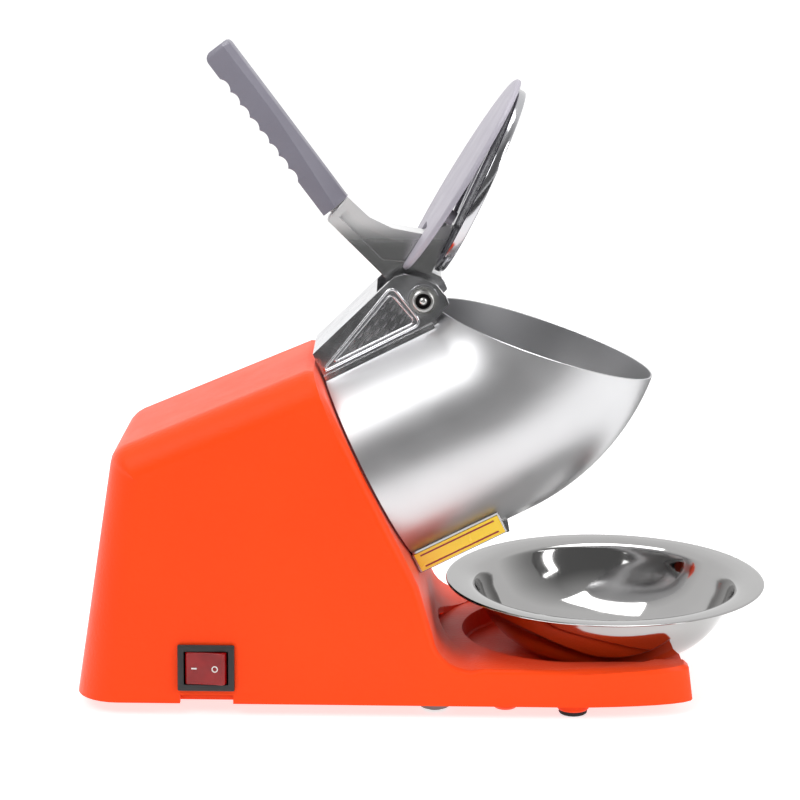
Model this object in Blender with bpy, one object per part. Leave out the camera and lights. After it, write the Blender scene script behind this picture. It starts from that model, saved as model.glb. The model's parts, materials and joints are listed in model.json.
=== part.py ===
"""Shaved ice machine: motor housing with a bowl tray, slanted hopper, lever press and bowl.

Metres, +Z up, +X towards the bowl, Z = 0 where the feet stand.
"""
import bmesh
import bpy
from math import asin, atan2, cos, pi, radians, sin, sqrt, tan
from mathutils import Matrix, Vector

MM = 0.001
GAP = 0.3 * MM                      # left between pieces that touch

# ---- driving dimensions -------------------------------------------------
PIVOT = Vector((-0.002, 0.0, 0.221))     # lever axis, along Y
DRIVE_TILT = radians(26.5)               # drive axis above the horizontal
HOPPER_R = 64 * MM                       # outer radius of the hopper tube
HOPPER_WALL = 1.0 * MM
HOPPER_FLOOR_BORE = 49 * MM
HOPPER_SIDES = 40
PIVOT_TO_TUBE_AXIS = 72.5 * MM
PIVOT_TO_FACE = 69 * MM                  # along the drive axis
MOUTH_TILT = radians(18.1)
MOUTH_DROP = 4 * MM                      # mouth plane below the lever axis

BODY_REAR_X = -0.1926
REAR_LEAN = atan2(20, 129)
TRAY_END_X = 0.1430                      # top of the blunt end of the tray
TRAY_END_LEAN = 2.2 * MM                 # the foot of that end stands this far ahead
END_LONG = 70 * MM                       # the tray's sides curve in over this length,
END_SIDE = 14 * MM                       # by this much
SKIRT_Z = 7 * MM
TRAY_Z = 27 * MM
BODY_HALF_WIDTH = 82.5 * MM              # at the skirt, near the tray
BODY_DRAFT = 0.098                       # half-width lost per unit of height
BODY_TAPER = 0.032                       # half-width lost per unit of length, towards the rear
TAPER_FROM = 0.084                       # behind this X
BODY_WALL = 2.8 * MM
SHELL_STEPS = 8                          # facets of each long-edge round of the housing
INNER_STEPS = 3
REAR_VENTS = 9
BASE_VENTS = 6
WELL_X = 0.0814
WELL_R = 62 * MM
WELL_FLOOR_Z = 14.6 * MM
RING_R = 74.5 * MM
RING_FLOOR_Z = 25.4 * MM
WELL_TOP_R = WELL_R - 1.6 * MM
RECESS_TOP_Z = 60 * MM

SHAFT_R = 5 * MM
DISC_Z = 54 * MM                         # blade disc, ahead of the body's face
DISC_T = 4 * MM
PRESS_ANGLE = radians(65)                # presser plate above the horizontal, lever up
PRESS_R = 54.4 * MM
COVER_ANGLE = radians(58.5)
COVER_R = 60.5 * MM
COVER_T = 3.0 * MM

BOWL_X = 0.1021
BOWL_R = 90.5 * MM
BOWL_RIM_Z = 56 * MM

SWITCH = Vector((-0.1196, 0, 0.0270))
BEZEL_W = 31 * MM
BEZEL_H = 25.5 * MM
SWITCH_OPEN_W = 27.4 * MM
SWITCH_OPEN_H = 21.6 * MM
ROCKER_W = 23.5 * MM
ROCKER_H = 17.6 * MM
ROCKER_PRESS = radians(7)                # the rocker leans this far each way
ROCKER_TOP = 3.4 * MM
ROCKER_DISH_R = 21 * MM
ROCKER_DISH = 0.35

M3 = 1.5 * MM                            # screw shank radii, and their clearance holes
M4 = 2.0 * MM
M3_HOLE = M3 + GAP
M4_HOLE = M4 + GAP
M4_HEAD_R = 3.4 * MM
M4_HEAD_H = 1.9 * MM
M4_LENGTH = 12 * MM
CHAMBER_SCREW_R = 36 * MM
HOPPER_SCREW_R = 55 * MM
HOPPER_SCREW_START = 52                  # degrees, clear of the drive frame's own axes
CHUTE_SCREW_X = 62.5 * MM
CHUTE_SCREW_Y = 30 * MM
FOOT_PLACES = ((0.0798, -0.0700), (0.0798, 0.0700), (-0.150, -0.045), (-0.150, 0.045))
DOME_PLACES = ((0.0045, -0.0620), (0.0045, 0.0620))
REST_PAD = (0.0430, 0.0660)
FOOT_R = 7.8 * MM                        # rubber foot, under an orange boss of the base
FOOT_H = 2.1 * MM
FOOT_BOSS_R = 8.9 * MM
LEAD_BUSH = Vector((BODY_REAR_X + 3.75 * MM, 36 * MM, 22 * MM))
BASE_LOW = 7.4 * MM
BASE_HIGH = 9.8 * MM

BELL_R = 46 * MM                         # motor end bells
BELL_BORE = 15.3 * MM
CAPACITOR_X = -0.148
CAPACITOR_Z = 27 * MM
BLADE_FROM = 14 * MM                     # windows of the blade disc, from the shaft axis
BLADE_TO = 56 * MM
BLADE_SCREW_X = 35 * MM
DISC_R = 60.5 * MM
DISC_NUT_R = 8.5 * MM
FAN_R = 36 * MM
FAN_BLADES = 7
CROWN_NOTCH_HALF = 19 * MM               # lets the lever swing through the hopper's crown
OUTLET_HALF = 37 * MM                    # half-width of the hole above the chute
CHUTE_SIDE = 41 * MM
CHUTE_END_Z = 54 * MM

BRACKET_OUT = 28 * MM                    # outer and inner faces of the bracket's cheeks
BRACKET_IN = 24 * MM
BRACKET_REAR_Z = 1.6 * MM
BRACKET_SCREW_Z = (15 * MM, 41 * MM)
BOLT_R = 4 * MM
BOLT_HOLE = BOLT_R + GAP

ARM_HALF = 10 * MM
HUB_R = 7.8 * MM
GRIP_LOW = Vector((-54.4 * MM, 43.2 * MM))      # rear lower corner of the grip, from the lever axis
GRIP_DIR = Vector((-66, 88.2)).normalized()
GRIP_SIDE = Vector((GRIP_DIR.y, -GRIP_DIR.x))     # towards the front of the grip
GRIP_LENGTH = 108 * MM
GRIP_DEPTH = 16.6 * MM
GRIP_HALF = 12 * MM
GRIP_SCREW_R = 1.8 * MM
TANG_HALF = 6 * MM
SCALLOPS = 8
SCALLOP_PITCH = 8.6 * MM
PRESS_CENTRE = 69.2 * MM                 # lever axis to the middle of the presser plate
PRESS_SCREW_AT = 26 * MM
PRESS_SCREW_Y = 5 * MM
COVER_CENTRE = 66.5 * MM
COVER_BEHIND = 16.5 * MM
COVER_POSTS = ((46 * MM, -26 * MM), (46 * MM, 26 * MM), (92 * MM, 0.0))

DRIVE_AXIS = Vector((cos(DRIVE_TILT), 0, sin(DRIVE_TILT)))
DOWN_FACE = Vector((sin(DRIVE_TILT), 0, -cos(DRIVE_TILT)))
FACE = PIVOT + PIVOT_TO_TUBE_AXIS * DOWN_FACE - PIVOT_TO_FACE * DRIVE_AXIS
DRIVE_ROT = (0, pi / 2 - DRIVE_TILT, 0)
ALONG_Y = (radians(90), 0, 0)            # turns local Z to -Y
AGAINST_Y = (-radians(90), 0, 0)         # turns local Z to +Y
BUSH_ROT = (0, radians(90) + REAR_LEAN, 0)


# ---- helpers ------------------------------------------------------------
def clear():
    for obj in list(bpy.data.objects):
        bpy.data.objects.remove(obj, do_unlink=True)


def material(name, color, rough, metal=0.0):
    found = bpy.data.materials.get(name)
    if found:
        return found
    mat = bpy.data.materials.new(name)
    mat.use_nodes = True
    shader = mat.node_tree.nodes["Principled BSDF"]
    shader.inputs["Base Color"].default_value = (*color, 1)
    shader.inputs["Roughness"].default_value = rough
    shader.inputs["Metallic"].default_value = metal
    return mat


def orange():
    return material("orange_abs", (0.90, 0.13, 0.01), 0.45)


def black_plastic():
    return material("black_plastic", (0.02, 0.02, 0.02), 0.4)


def grey_plastic():
    return material("grey_plastic", (0.20, 0.19, 0.20), 0.45)


def red_plastic():
    return material("red_rocker", (0.65, 0.01, 0.01), 0.25)


def black_rubber():
    return material("black_rubber", (0.02, 0.02, 0.02), 0.8)


def grey_rubber():
    return material("grey_rubber", (0.30, 0.30, 0.30), 0.7)


def stainless():
    return material("stainless_steel", (0.60, 0.60, 0.60), 0.28, 1.0)


def mirror_steel():
    return material("polished_stainless", (0.72, 0.72, 0.72), 0.08, 1.0)


def cast_aluminium():
    return material("cast_aluminium", (0.66, 0.66, 0.67), 0.25, 1.0)


def zinc_steel():
    return material("zinc_steel", (0.55, 0.55, 0.54), 0.3, 1.0)


def blade_steel():
    return material("blade_steel", (0.62, 0.62, 0.62), 0.18, 1.0)


def motor_steel():
    return material("motor_steel", (0.28, 0.28, 0.30), 0.45, 1.0)


def yellow_film():
    return material("yellow_film", (0.90, 0.66, 0.02), 0.35)


def link(name, mesh, mat, parent=None, at=(0, 0, 0), rot=(0, 0, 0)):
    obj = bpy.data.objects.new(name, mesh)
    bpy.context.scene.collection.objects.link(obj)
    if mat:
        mesh.materials.append(mat)
    obj.parent = parent
    obj.location = at
    obj.rotation_euler = rot
    return obj


def empty(name, at, rot=(0, 0, 0), parent=None):
    obj = bpy.data.objects.new(name, None)
    bpy.context.scene.collection.objects.link(obj)
    obj.parent = parent
    obj.location = at
    obj.rotation_euler = rot
    return obj


def outward(bm):
    bmesh.ops.recalc_face_normals(bm, faces=bm.faces)
    if bm.calc_volume(signed=True) < 0:
        bmesh.ops.reverse_faces(bm, faces=bm.faces)


def to_mesh(name, bm, smooth_angle=None):
    outward(bm)
    mesh = bpy.data.meshes.new(name)
    bm.to_mesh(mesh)
    bm.free()
    if smooth_angle:
        mesh.shade_smooth()
        mesh.set_sharp_from_angle(angle=radians(smooth_angle))
    return mesh


def rings_mesh(name, rings, closed_profile, smooth_angle=35):
    """Skin over rings of points; one-point rings are poles. Open profiles end in caps."""
    bm = bmesh.new()
    rows = [[bm.verts.new(p) for p in ring] for ring in rings]
    pairs = list(zip(rows, rows[1:]))
    if closed_profile:
        pairs.append((rows[-1], rows[0]))
    for a, b in pairs:
        count = max(len(a), len(b))
        for i in range(count):
            j = (i + 1) % count
            if len(a) == 1:
                bm.faces.new((a[0], b[j], b[i]))
            elif len(b) == 1:
                bm.faces.new((a[i], a[j], b[0]))
            else:
                bm.faces.new((a[i], a[j], b[j], b[i]))
    if not closed_profile:
        for row in (rows[0], rows[-1]):
            if len(row) > 2:
                bm.faces.new(row)
    return to_mesh(name, bm, smooth_angle)


def turned_mesh(name, profile, segments=48, closed=False, smooth_angle=35):
    """Turn (radius, height) points round local Z."""
    rings = []
    for r, z in profile:
        if r < 1e-7:
            rings.append([(0, 0, z)])
        else:
            turns = [2 * pi * i / segments for i in range(segments)]
            rings.append([(r * cos(t), r * sin(t), z) for t in turns])
    return rings_mesh(name, rings, closed, smooth_angle)


def turned(name, profile, mat, parent=None, at=(0, 0, 0), rot=(0, 0, 0), segments=48,
           closed=False, smooth_angle=35):
    mesh = turned_mesh(name, profile, segments, closed, smooth_angle)
    return link(name, mesh, mat, parent, at, rot)


def tube_profile(inner, outer, low, high, chamfer=0.0):
    c = chamfer
    if c == 0:
        return [(inner, low), (outer, low), (outer, high), (inner, high)]
    return [(inner, low), (outer - c, low), (outer, low + c), (outer, high - c),
            (outer - c, high), (inner, high)]


def disc_profile(radius, low, high, chamfer=0.0):
    c = chamfer
    if c == 0:
        return [(0, low), (radius, low), (radius, high), (0, high)]
    return [(0, low), (radius - c, low), (radius, low + c), (radius, high - c),
            (radius - c, high), (0, high)]


def prism_mesh(name, outline, low, high, axis="Y", smooth_angle=None):
    """Extrude a 2-D outline. axis Y: outline is (x, z). axis Z: outline is (x, y)."""
    def place(p, h):
        return (p[0], h, p[1]) if axis == "Y" else (p[0], p[1], h)
    bm = bmesh.new()
    bottom = [bm.verts.new(place(p, low)) for p in outline]
    top = [bm.verts.new(place(p, high)) for p in outline]
    bm.faces.new(bottom)
    bm.faces.new(top)
    count = len(outline)
    for i in range(count):
        j = (i + 1) % count
        bm.faces.new((bottom[i], bottom[j], top[j], top[i]))
    return to_mesh(name, bm, smooth_angle)


def prism(name, outline, low, high, mat, parent=None, at=(0, 0, 0), rot=(0, 0, 0), axis="Y",
          smooth_angle=None):
    mesh = prism_mesh(name, outline, low, high, axis, smooth_angle)
    return link(name, mesh, mat, parent, at, rot)


def box_mesh(name, low, high):
    outline = [(low[0], low[1]), (high[0], low[1]), (high[0], high[1]), (low[0], high[1])]
    return prism_mesh(name, outline, low[2], high[2], "Z")


def box(name, low, high, mat, parent=None, at=(0, 0, 0), rot=(0, 0, 0)):
    return link(name, box_mesh(name, low, high), mat, parent, at, rot)


def as_tool(obj):
    obj.hide_render = True
    obj.display_type = "WIRE"
    return obj


def boolean(obj, tool, operation="DIFFERENCE"):
    mod = obj.modifiers.new(operation.lower(), "BOOLEAN")
    mod.operation = operation
    mod.solver = "EXACT"
    mod.object = as_tool(tool)
    return mod


def bevel(obj, width, segments=2, angle=40):
    mod = obj.modifiers.new("edge_round", "BEVEL")
    mod.width = width
    mod.segments = segments
    mod.limit_method = "ANGLE"
    mod.angle_limit = radians(angle)
    mod.use_clamp_overlap = True
    return mod


def drill(obj, name, radius, low, high, parent=None, at=(0, 0, 0), rot=(0, 0, 0), segments=12):
    tool = turned(name, disc_profile(radius, low, high), None, parent, at, rot, segments)
    boolean(obj, tool)


def arc(cx, cz, radius, start, end, steps):
    """Points of an arc, angles in degrees."""
    turns = [radians(start + (end - start) * i / steps) for i in range(steps + 1)]
    return [(cx + radius * cos(t), cz + radius * sin(t)) for t in turns]


def hexagon(radius):
    turns = [radians(60 * i) for i in range(6)]
    return [(radius * cos(t), radius * sin(t)) for t in turns]


def screw(name, head_r, head_h, shank_r, length, mat, parent=None, at=(0, 0, 0), rot=(0, 0, 0)):
    """Pan-head screw: the head stands on local Z = 0 and the shank runs down."""
    profile = [(0, -length), (shank_r, -length), (shank_r, 0), (head_r, 0), (head_r, head_h * 0.5),
               (head_r * 0.7, head_h), (0, head_h)]
    return turned(name, profile, mat, parent, at, rot, 12)


# ---- body ---------------------------------------------------------------
def half_width(x, z):
    """Half-width of the housing: wider at the foot and towards the tray."""
    behind = max(0.0, TAPER_FROM - x)
    return BODY_HALF_WIDTH - BODY_DRAFT * (z - SKIRT_Z) - BODY_TAPER * behind


class Corner:
    """A point of the side outline, and how it moves as the section nears the side wall."""

    def __init__(self, x, z, inset, depth):
        self.x = x
        self.z = z
        self.inset = inset
        self.depth = depth

    def at(self, t, sign):
        blend = 1 - cos(t)
        x = self.x + self.inset[0] * blend
        z = self.z + self.inset[1] * blend
        y = half_width(x, z) - self.depth * (1 - sin(t))
        return (x, sign * y, z)


def on_face(down, ahead=0.0):
    """Point of the slanted front face, measured down it from the drive axis."""
    p = FACE + down * DOWN_FACE + ahead * DRIVE_AXIS
    return p.x, p.z


def body_corners(wall):
    """Side outline of the housing, moved inwards by the wall; wall 0 is the outer skin."""
    w = wall
    top_r = 17 * MM - w
    rear_r = 24 * MM - w
    edge_r = max(5 * MM - w, 1.5 * MM)
    tip_x, tip_z = on_face(-68.5 * MM, -w)
    slope = radians(22.4)
    low = SKIRT_Z if w == 0 else SKIRT_Z - 5 * MM
    rear_x = BODY_REAR_X + w + (low - SKIRT_Z) * tan(REAR_LEAN)
    # the top line runs back from the tip; it meets the rear line at the shoulder
    top_z0 = tip_z - w
    shoulder_x = (rear_x + (top_z0 - low - tip_x * tan(slope)) * tan(REAR_LEAN)) / (
        1 - tan(slope) * tan(REAR_LEAN))
    shoulder_z = top_z0 + (shoulder_x - tip_x) * tan(slope)
    out = []
    rear_in = (rear_r, 0)
    top_in = (top_r * sin(slope), -top_r * cos(slope))
    out.append(Corner(rear_x, low, rear_in, rear_r))
    round_r = 15 * MM
    shrink = round_r * tan((radians(90) - REAR_LEAN - slope) / 2)
    near = (shoulder_x - shrink * sin(REAR_LEAN), shoulder_z - shrink * cos(REAR_LEAN))
    far = (shoulder_x + shrink * cos(slope), shoulder_z + shrink * sin(slope))
    for i in range(5):
        f = i / 4
        x = (1 - f) ** 2 * near[0] + 2 * f * (1 - f) * shoulder_x + f * f * far[0]
        z = (1 - f) ** 2 * near[1] + 2 * f * (1 - f) * shoulder_z + f * f * far[1]
        inset = ((1 - f) * rear_in[0] * 0.8 + f * top_in[0], (1 - f) * -6 * MM + f * top_in[1])
        out.append(Corner(x, z, inset, (1 - f) * rear_r + f * top_r))
    tip_r = 4 * MM
    out.append(Corner(tip_x - tip_r, top_z0 - tip_r * tan(slope) * 0.9, top_in, top_r))
    out.append(Corner(tip_x + 0.6 * MM, top_z0 - 1.6 * MM, (top_in[0] * 0.9, top_in[1] * 1.05), top_r))
    face_in = (-edge_r * cos(DRIVE_TILT), -edge_r * sin(DRIVE_TILT))
    for down in (-58, -30, 0, 30, 60):
        x, z = on_face(down * MM, -w)
        f = max(0.0, (-down - 30) / 28)
        inset = (face_in[0] * (1 - f) + top_in[0] * f * 0.6, face_in[1] * (1 - f) + top_in[1] * f * 0.9)
        out.append(Corner(x, z, inset, edge_r * (1 - f) + top_r * 0.8 * f))
    # the face steepens, then a cove runs out into the tray
    cove_r = 21 * MM + w
    cove_x = 3.2 * MM + cove_r - w
    cove_z = TRAY_Z - 1.2 * MM + cove_r - w
    for x, z in arc(cove_x, cove_z, cove_r, 188, 270, 7):
        f = (cove_z - z) / cove_r
        out.append(Corner(x, z, (face_in[0] * (1 - f), face_in[1] * (1 - f) - f * 2 * MM), edge_r))
    long_r = END_LONG - w
    side_r = END_SIDE - w
    lip = 2.5 * MM
    end_x = TRAY_END_X - w
    top_z = TRAY_Z - w
    out.append(Corner(30 * MM, top_z, (0, -lip), lip))
    out.append(Corner(end_x - long_r - 2 * MM, top_z, (0, -lip), lip))
    out.append(Corner(end_x - lip, top_z, (-long_r + lip, -lip), side_r))
    out.append(Corner(end_x, top_z - lip, (-long_r, -lip * 0.6), side_r))
    out.append(Corner(end_x + TRAY_END_LEAN, low, (-long_r, 0), side_r))
    return out


def body_loft(name, wall, steps, mat=None):
    corners = body_corners(wall)
    sections = []
    turns = [pi / 2 * k / steps for k in range(steps + 1)]
    for sign, order in ((-1, reversed(turns)), (1, turns)):
        for t in order:
            ring = []
            for corner in corners:
                x, y, z = corner.at(t, sign)
                ring.append((x, y - sign * wall, z))
            sections.append(ring)
    return link(name, rings_mesh(name, sections, False, 32), mat)


def body_shell():
    shell = body_loft("body_shell", 0.0, SHELL_STEPS, orange())
    boolean(shell, body_loft("body_hollow", BODY_WALL, INNER_STEPS))
    boolean(shell, tray_block(), "UNION")
    boolean(shell, tray_recess())
    body_openings(shell)
    foot_bosses(shell)
    return shell


def tray_recess():
    """Cutter for the shallow ring, the round well and the scoop that opens the well to the front."""
    profile = [(0, WELL_FLOOR_Z), (WELL_R - 3.5 * MM, WELL_FLOOR_Z),
               (WELL_R - 2.5 * MM, WELL_FLOOR_Z + 1 * MM),
               (WELL_TOP_R, RING_FLOOR_Z), (RING_R, RING_FLOOR_Z), (RING_R, RECESS_TOP_Z),
               (0, RECESS_TOP_Z)]
    recess = turned("tray_recess", profile, None, None, (WELL_X, 0, 0), segments=56)
    bounds = box("recess_bounds", (6 * MM, -0.09, 0), (0.2, 0.09, 0.1), None)
    boolean(recess, bounds, "INTERSECT")
    floor = WELL_FLOOR_Z + 0.2 * MM
    half = [(44 * MM, floor), (50 * MM, floor + 3 * MM), (WELL_TOP_R - 2 * MM, 21 * MM),
            (WELL_TOP_R, RING_FLOOR_Z + 1 * MM), (WELL_TOP_R, RECESS_TOP_Z + 2 * MM)]
    scoop = half + [(-y, z) for y, z in reversed(half)]
    tool = prism("scoop_tool", scoop, -0.17, -WELL_X - 2 * MM, None, rot=(0, 0, radians(90)))
    boolean(recess, tool, "UNION")
    return recess


def tray_block():
    """Floor of the recess and the side walls of its open end, inside the tray."""
    low = WELL_FLOOR_Z - 2.6 * MM
    profile = [(0, low), (WELL_R - 1.5 * MM, low), (WELL_R + 0.8 * MM, low + 2.1 * MM),
               (WELL_R + 2.6 * MM, RING_FLOOR_Z - 2.8 * MM), (RING_R + 1 * MM, RING_FLOOR_Z - 2.8 * MM),
               (RING_R + 1 * MM, 26.2 * MM), (0, 26.2 * MM)]
    block = turned("tray_block", profile, None, None, (WELL_X, 0, 0), segments=28)
    near = WELL_X + 10 * MM
    far = TRAY_END_X + 10 * MM
    side = WELL_TOP_R + 2.6 * MM
    floor_end = [(near, -side), (far, -side), (far, side), (near, side)]
    slab = prism("scoop_slab", floor_end, low + 0.3 * MM, 25.9 * MM, None, axis="Z")
    boolean(block, slab, "UNION")
    boolean(block, body_loft("block_bounds", 1.2 * MM, INNER_STEPS), "INTERSECT")
    return block


def switch_frame():
    """Empty on the side wall at the switch: local Z points out of the wall, local X along +X."""
    y = -half_width(SWITCH.x, SWITCH.z)
    lean = atan2(BODY_DRAFT, 1)
    yaw = atan2(BODY_TAPER, 1)
    return empty("switch_frame", (SWITCH.x, y, SWITCH.z), (radians(90) - lean, 0, -yaw))


def body_openings(shell):
    frame = bpy.data.objects["switch_frame"]
    cut = box("switch_cut", (-SWITCH_OPEN_W / 2 - GAP, -SWITCH_OPEN_H / 2 - GAP, -8 * MM),
              (SWITCH_OPEN_W / 2 + GAP, SWITCH_OPEN_H / 2 + GAP, 8 * MM), None, frame)
    boolean(shell, cut)
    notch = box("notch_cut", (-14.5 * MM, -25 * MM, -8 * MM), (14.5 * MM, -15.4 * MM, 8 * MM), None, frame)
    boolean(shell, notch)
    drive = bpy.data.objects["drive_frame"]
    drill(shell, "seal_cut", 14 * MM + GAP, -8 * MM, 8 * MM, drive, segments=32)
    for i, (x, y) in enumerate(screw_places(CHAMBER_SCREW_R, 0)):
        drill(shell, f"chamber_screw_cut_{i}", M4_HOLE, -8 * MM, 8 * MM, drive, (x, y, 0))
    for sign in (-1, 1):
        drill(shell, f"chute_screw_cut_{sign}", M3_HOLE, -8 * MM, 8 * MM, drive,
              (CHUTE_SCREW_X, sign * CHUTE_SCREW_Y, 0))
    drill(shell, "lead_cut", 6 * MM + GAP, -20 * MM, 20 * MM, None, LEAD_BUSH, BUSH_ROT, 20)
    for i in range(REAR_VENTS):
        z = (48 + 8 * i) * MM
        slot = box(f"vent_cut_{i}", (-0.21, -30 * MM, z), (-0.15, 30 * MM, z + 3 * MM), None)
        boolean(shell, slot)


def screw_places(radius, start, count=3):
    turns = [radians(start + 360 * i / count) for i in range(count)]
    return [(radius * cos(t), radius * sin(t)) for t in turns]


def foot_bosses(shell):
    """Screw bosses inside the shell, over the four screwed feet."""
    for i, (x, y) in enumerate(FOOT_PLACES):
        front = x > 0
        top = 24 * MM if front else 30 * MM
        low = 10.2 * MM
        boss = turned(f"boss_{i}", disc_profile(5 * MM, low, top), None, None, (x, y, 0), segments=20)
        side = 1 if y > 0 else -1
        reach = half_width(x, 20 * MM) - 1.4 * MM
        rib = box(f"boss_rib_{i}", (-1.5 * MM, min(0, side * (reach - abs(y))), low + 3 * MM),
                  (1.5 * MM, max(0, side * (reach - abs(y))), top - 1 * MM), None, None, (x, y, 0))
        boolean(boss, rib, "UNION")
        boolean(shell, boss, "UNION")
        drill(shell, f"boss_hole_{i}", M3_HOLE, low - 2 * MM, top - 3 * MM, None, (x, y, 0), segments=12)


# ---- base and feet ------------------------------------------------------
def base_outline(inset):
    """Plan outline of the base, inside the skirt of the shell."""
    low = SKIRT_Z + 2 * MM
    rear = BODY_REAR_X + inset
    end = TRAY_END_X + TRAY_END_LEAN * 0.8 - inset
    rear_r = 24 * MM - inset
    long_r = END_LONG - inset
    side_r = END_SIDE - inset

    def y_at(x):
        return half_width(x, low) - inset - 0.15 * MM
    pts = []
    for x, y in arc(rear + rear_r, 0, rear_r, 180, 90, 6):
        pts.append((x, y - rear_r + y_at(x)))
    for i in range(SHELL_STEPS + 1):
        t = pi / 2 * (1 - i / SHELL_STEPS)
        x = end - long_r * (1 - cos(t))
        pts.append((x, y_at(x) - side_r * (1 - sin(t))))
    return pts + [(x, -y) for x, y in reversed(pts)]


def base_and_feet():
    base = prism("base_plate", base_outline(BODY_WALL + 2.4 * MM), BASE_LOW, BASE_HIGH, orange(), axis="Z",
                 smooth_angle=30)
    for i, (x, y) in enumerate(FOOT_PLACES):
        pad = disc_profile(FOOT_BOSS_R, FOOT_H + GAP, BASE_LOW + 1 * MM, 0.8 * MM)
        boolean(base, turned(f"pad_{i}", pad, None, None, (x, y, 0), segments=20), "UNION")
    for sign in (-1, 1):
        pad = disc_profile(8 * MM, 1.9 * MM, BASE_LOW + 1 * MM, 2 * MM)
        place = (REST_PAD[0], sign * REST_PAD[1], 0)
        boolean(base, turned(f"rest_pad_{sign}", pad, None, None, place, segments=20), "UNION")
    sink = FOOT_H - 0.8 * MM
    foot = [(3.4 * MM, 0), (FOOT_R - 0.6 * MM, 0), (FOOT_R, 0.6 * MM), (FOOT_R, FOOT_H),
            (1.9 * MM, FOOT_H), (1.9 * MM, sink), (3.4 * MM, sink)]
    for i, (x, y) in enumerate(FOOT_PLACES):
        drill(base, f"base_hole_{i}", M3_HOLE, 2 * MM, 12 * MM, None, (x, y, 0))
        turned(f"foot_{i + 1}", foot, black_rubber(), None, (x, y, 0), segments=16, closed=True)
        screw(f"foot_screw_{i + 1}", 3.0 * MM, 0.9 * MM, M3, 17 * MM, zinc_steel(), None,
              (x, y, sink - 0.05 * MM), (pi, 0, 0))
    dome = [(0, 0), (5 * MM, 0), (8.2 * MM, 1.4 * MM), (9.2 * MM, 4 * MM), (9.2 * MM, 7.1 * MM),
            (2.6 * MM, 7.1 * MM), (2.6 * MM, 10.1 * MM), (4.2 * MM, 10.1 * MM), (3.0 * MM, 12.5 * MM),
            (0, 12.5 * MM)]
    for i, (x, y) in enumerate(DOME_PLACES):
        drill(base, f"dome_hole_{i}", 2.9 * MM, 2 * MM, 12 * MM, None, (x, y, 0))
        turned(f"dome_foot_{i + 1}", dome, grey_rubber(), None, (x, y, 0), segments=16)
    for i in range(BASE_VENTS):
        x = -0.10 + 0.012 * i
        boolean(base, box(f"base_vent_{i}", (x, -0.03, 0), (x + 4 * MM, 0.03, 0.02), None))
    return base


# ---- switch and lead inlet ----------------------------------------------
def switch():
    frame = bpy.data.objects["switch_frame"]
    housing = box("switch_housing", (-SWITCH_OPEN_W / 2, -SWITCH_OPEN_H / 2, -20 * MM),
                  (SWITCH_OPEN_W / 2, SWITCH_OPEN_H / 2, 1 * MM), black_plastic(), frame)
    bezel = box("bezel_block", (-BEZEL_W / 2, -BEZEL_H / 2, GAP), (BEZEL_W / 2, BEZEL_H / 2, 2.4 * MM),
                None, frame)
    bevel(bezel, 0.8 * MM, 2)
    boolean(housing, bezel, "UNION")
    pocket = box("rocker_pocket", (-ROCKER_W / 2 - GAP, -ROCKER_H / 2 - GAP, -12 * MM),
                 (ROCKER_W / 2 + GAP, ROCKER_H / 2 + GAP, 6 * MM), None, frame)
    boolean(housing, pocket)
    outline = [(-ROCKER_W / 2 + 0.9 * MM, -4 * MM), (ROCKER_W / 2 - 0.9 * MM, -4 * MM),
               (ROCKER_W / 2 - 0.4 * MM, 0.0), (ROCKER_W / 2 - 0.7 * MM, 2.8 * MM)]
    for i in range(7):
        x = (0.9 - 0.3 * i) * (ROCKER_W / 2 - 0.9 * MM)
        sag = ROCKER_DISH_R - sqrt(ROCKER_DISH_R ** 2 - x * x)
        outline.append((x, ROCKER_TOP + ROCKER_DISH * sag))
    outline += [(-ROCKER_W / 2 + 0.7 * MM, 2.8 * MM), (-ROCKER_W / 2 + 0.4 * MM, 0.0)]
    axis = empty("rocker_axis", (0, 0, 0), (0, -ROCKER_PRESS, 0), frame)
    rocker = prism("rocker", outline, -ROCKER_H / 2, ROCKER_H / 2, red_plastic(), axis, smooth_angle=30)
    bevel(rocker, 0.5 * MM, 2, 50)
    for i, x in enumerate((-7 * MM, 0.0, 7 * MM)):
        tab = box(f"switch_tab_{i + 1}", (x - 0.4 * MM, -3 * MM, -29 * MM),
                  (x + 0.4 * MM, 3 * MM, -18 * MM), None, frame)
        boolean(housing, tab, "UNION")


def lead_bush():
    profile = [(3.2 * MM, -4.2 * MM), (8 * MM, -4.2 * MM), (9 * MM, -3.4 * MM), (9 * MM, -1.9 * MM),
               (6 * MM, -1.9 * MM), (6 * MM, 1.9 * MM), (7.4 * MM, 1.9 * MM), (6.4 * MM, 4 * MM),
               (3.2 * MM, 4 * MM)]
    turned("lead_bush", profile, black_rubber(), None, LEAD_BUSH, BUSH_ROT, 20, True)


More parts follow.
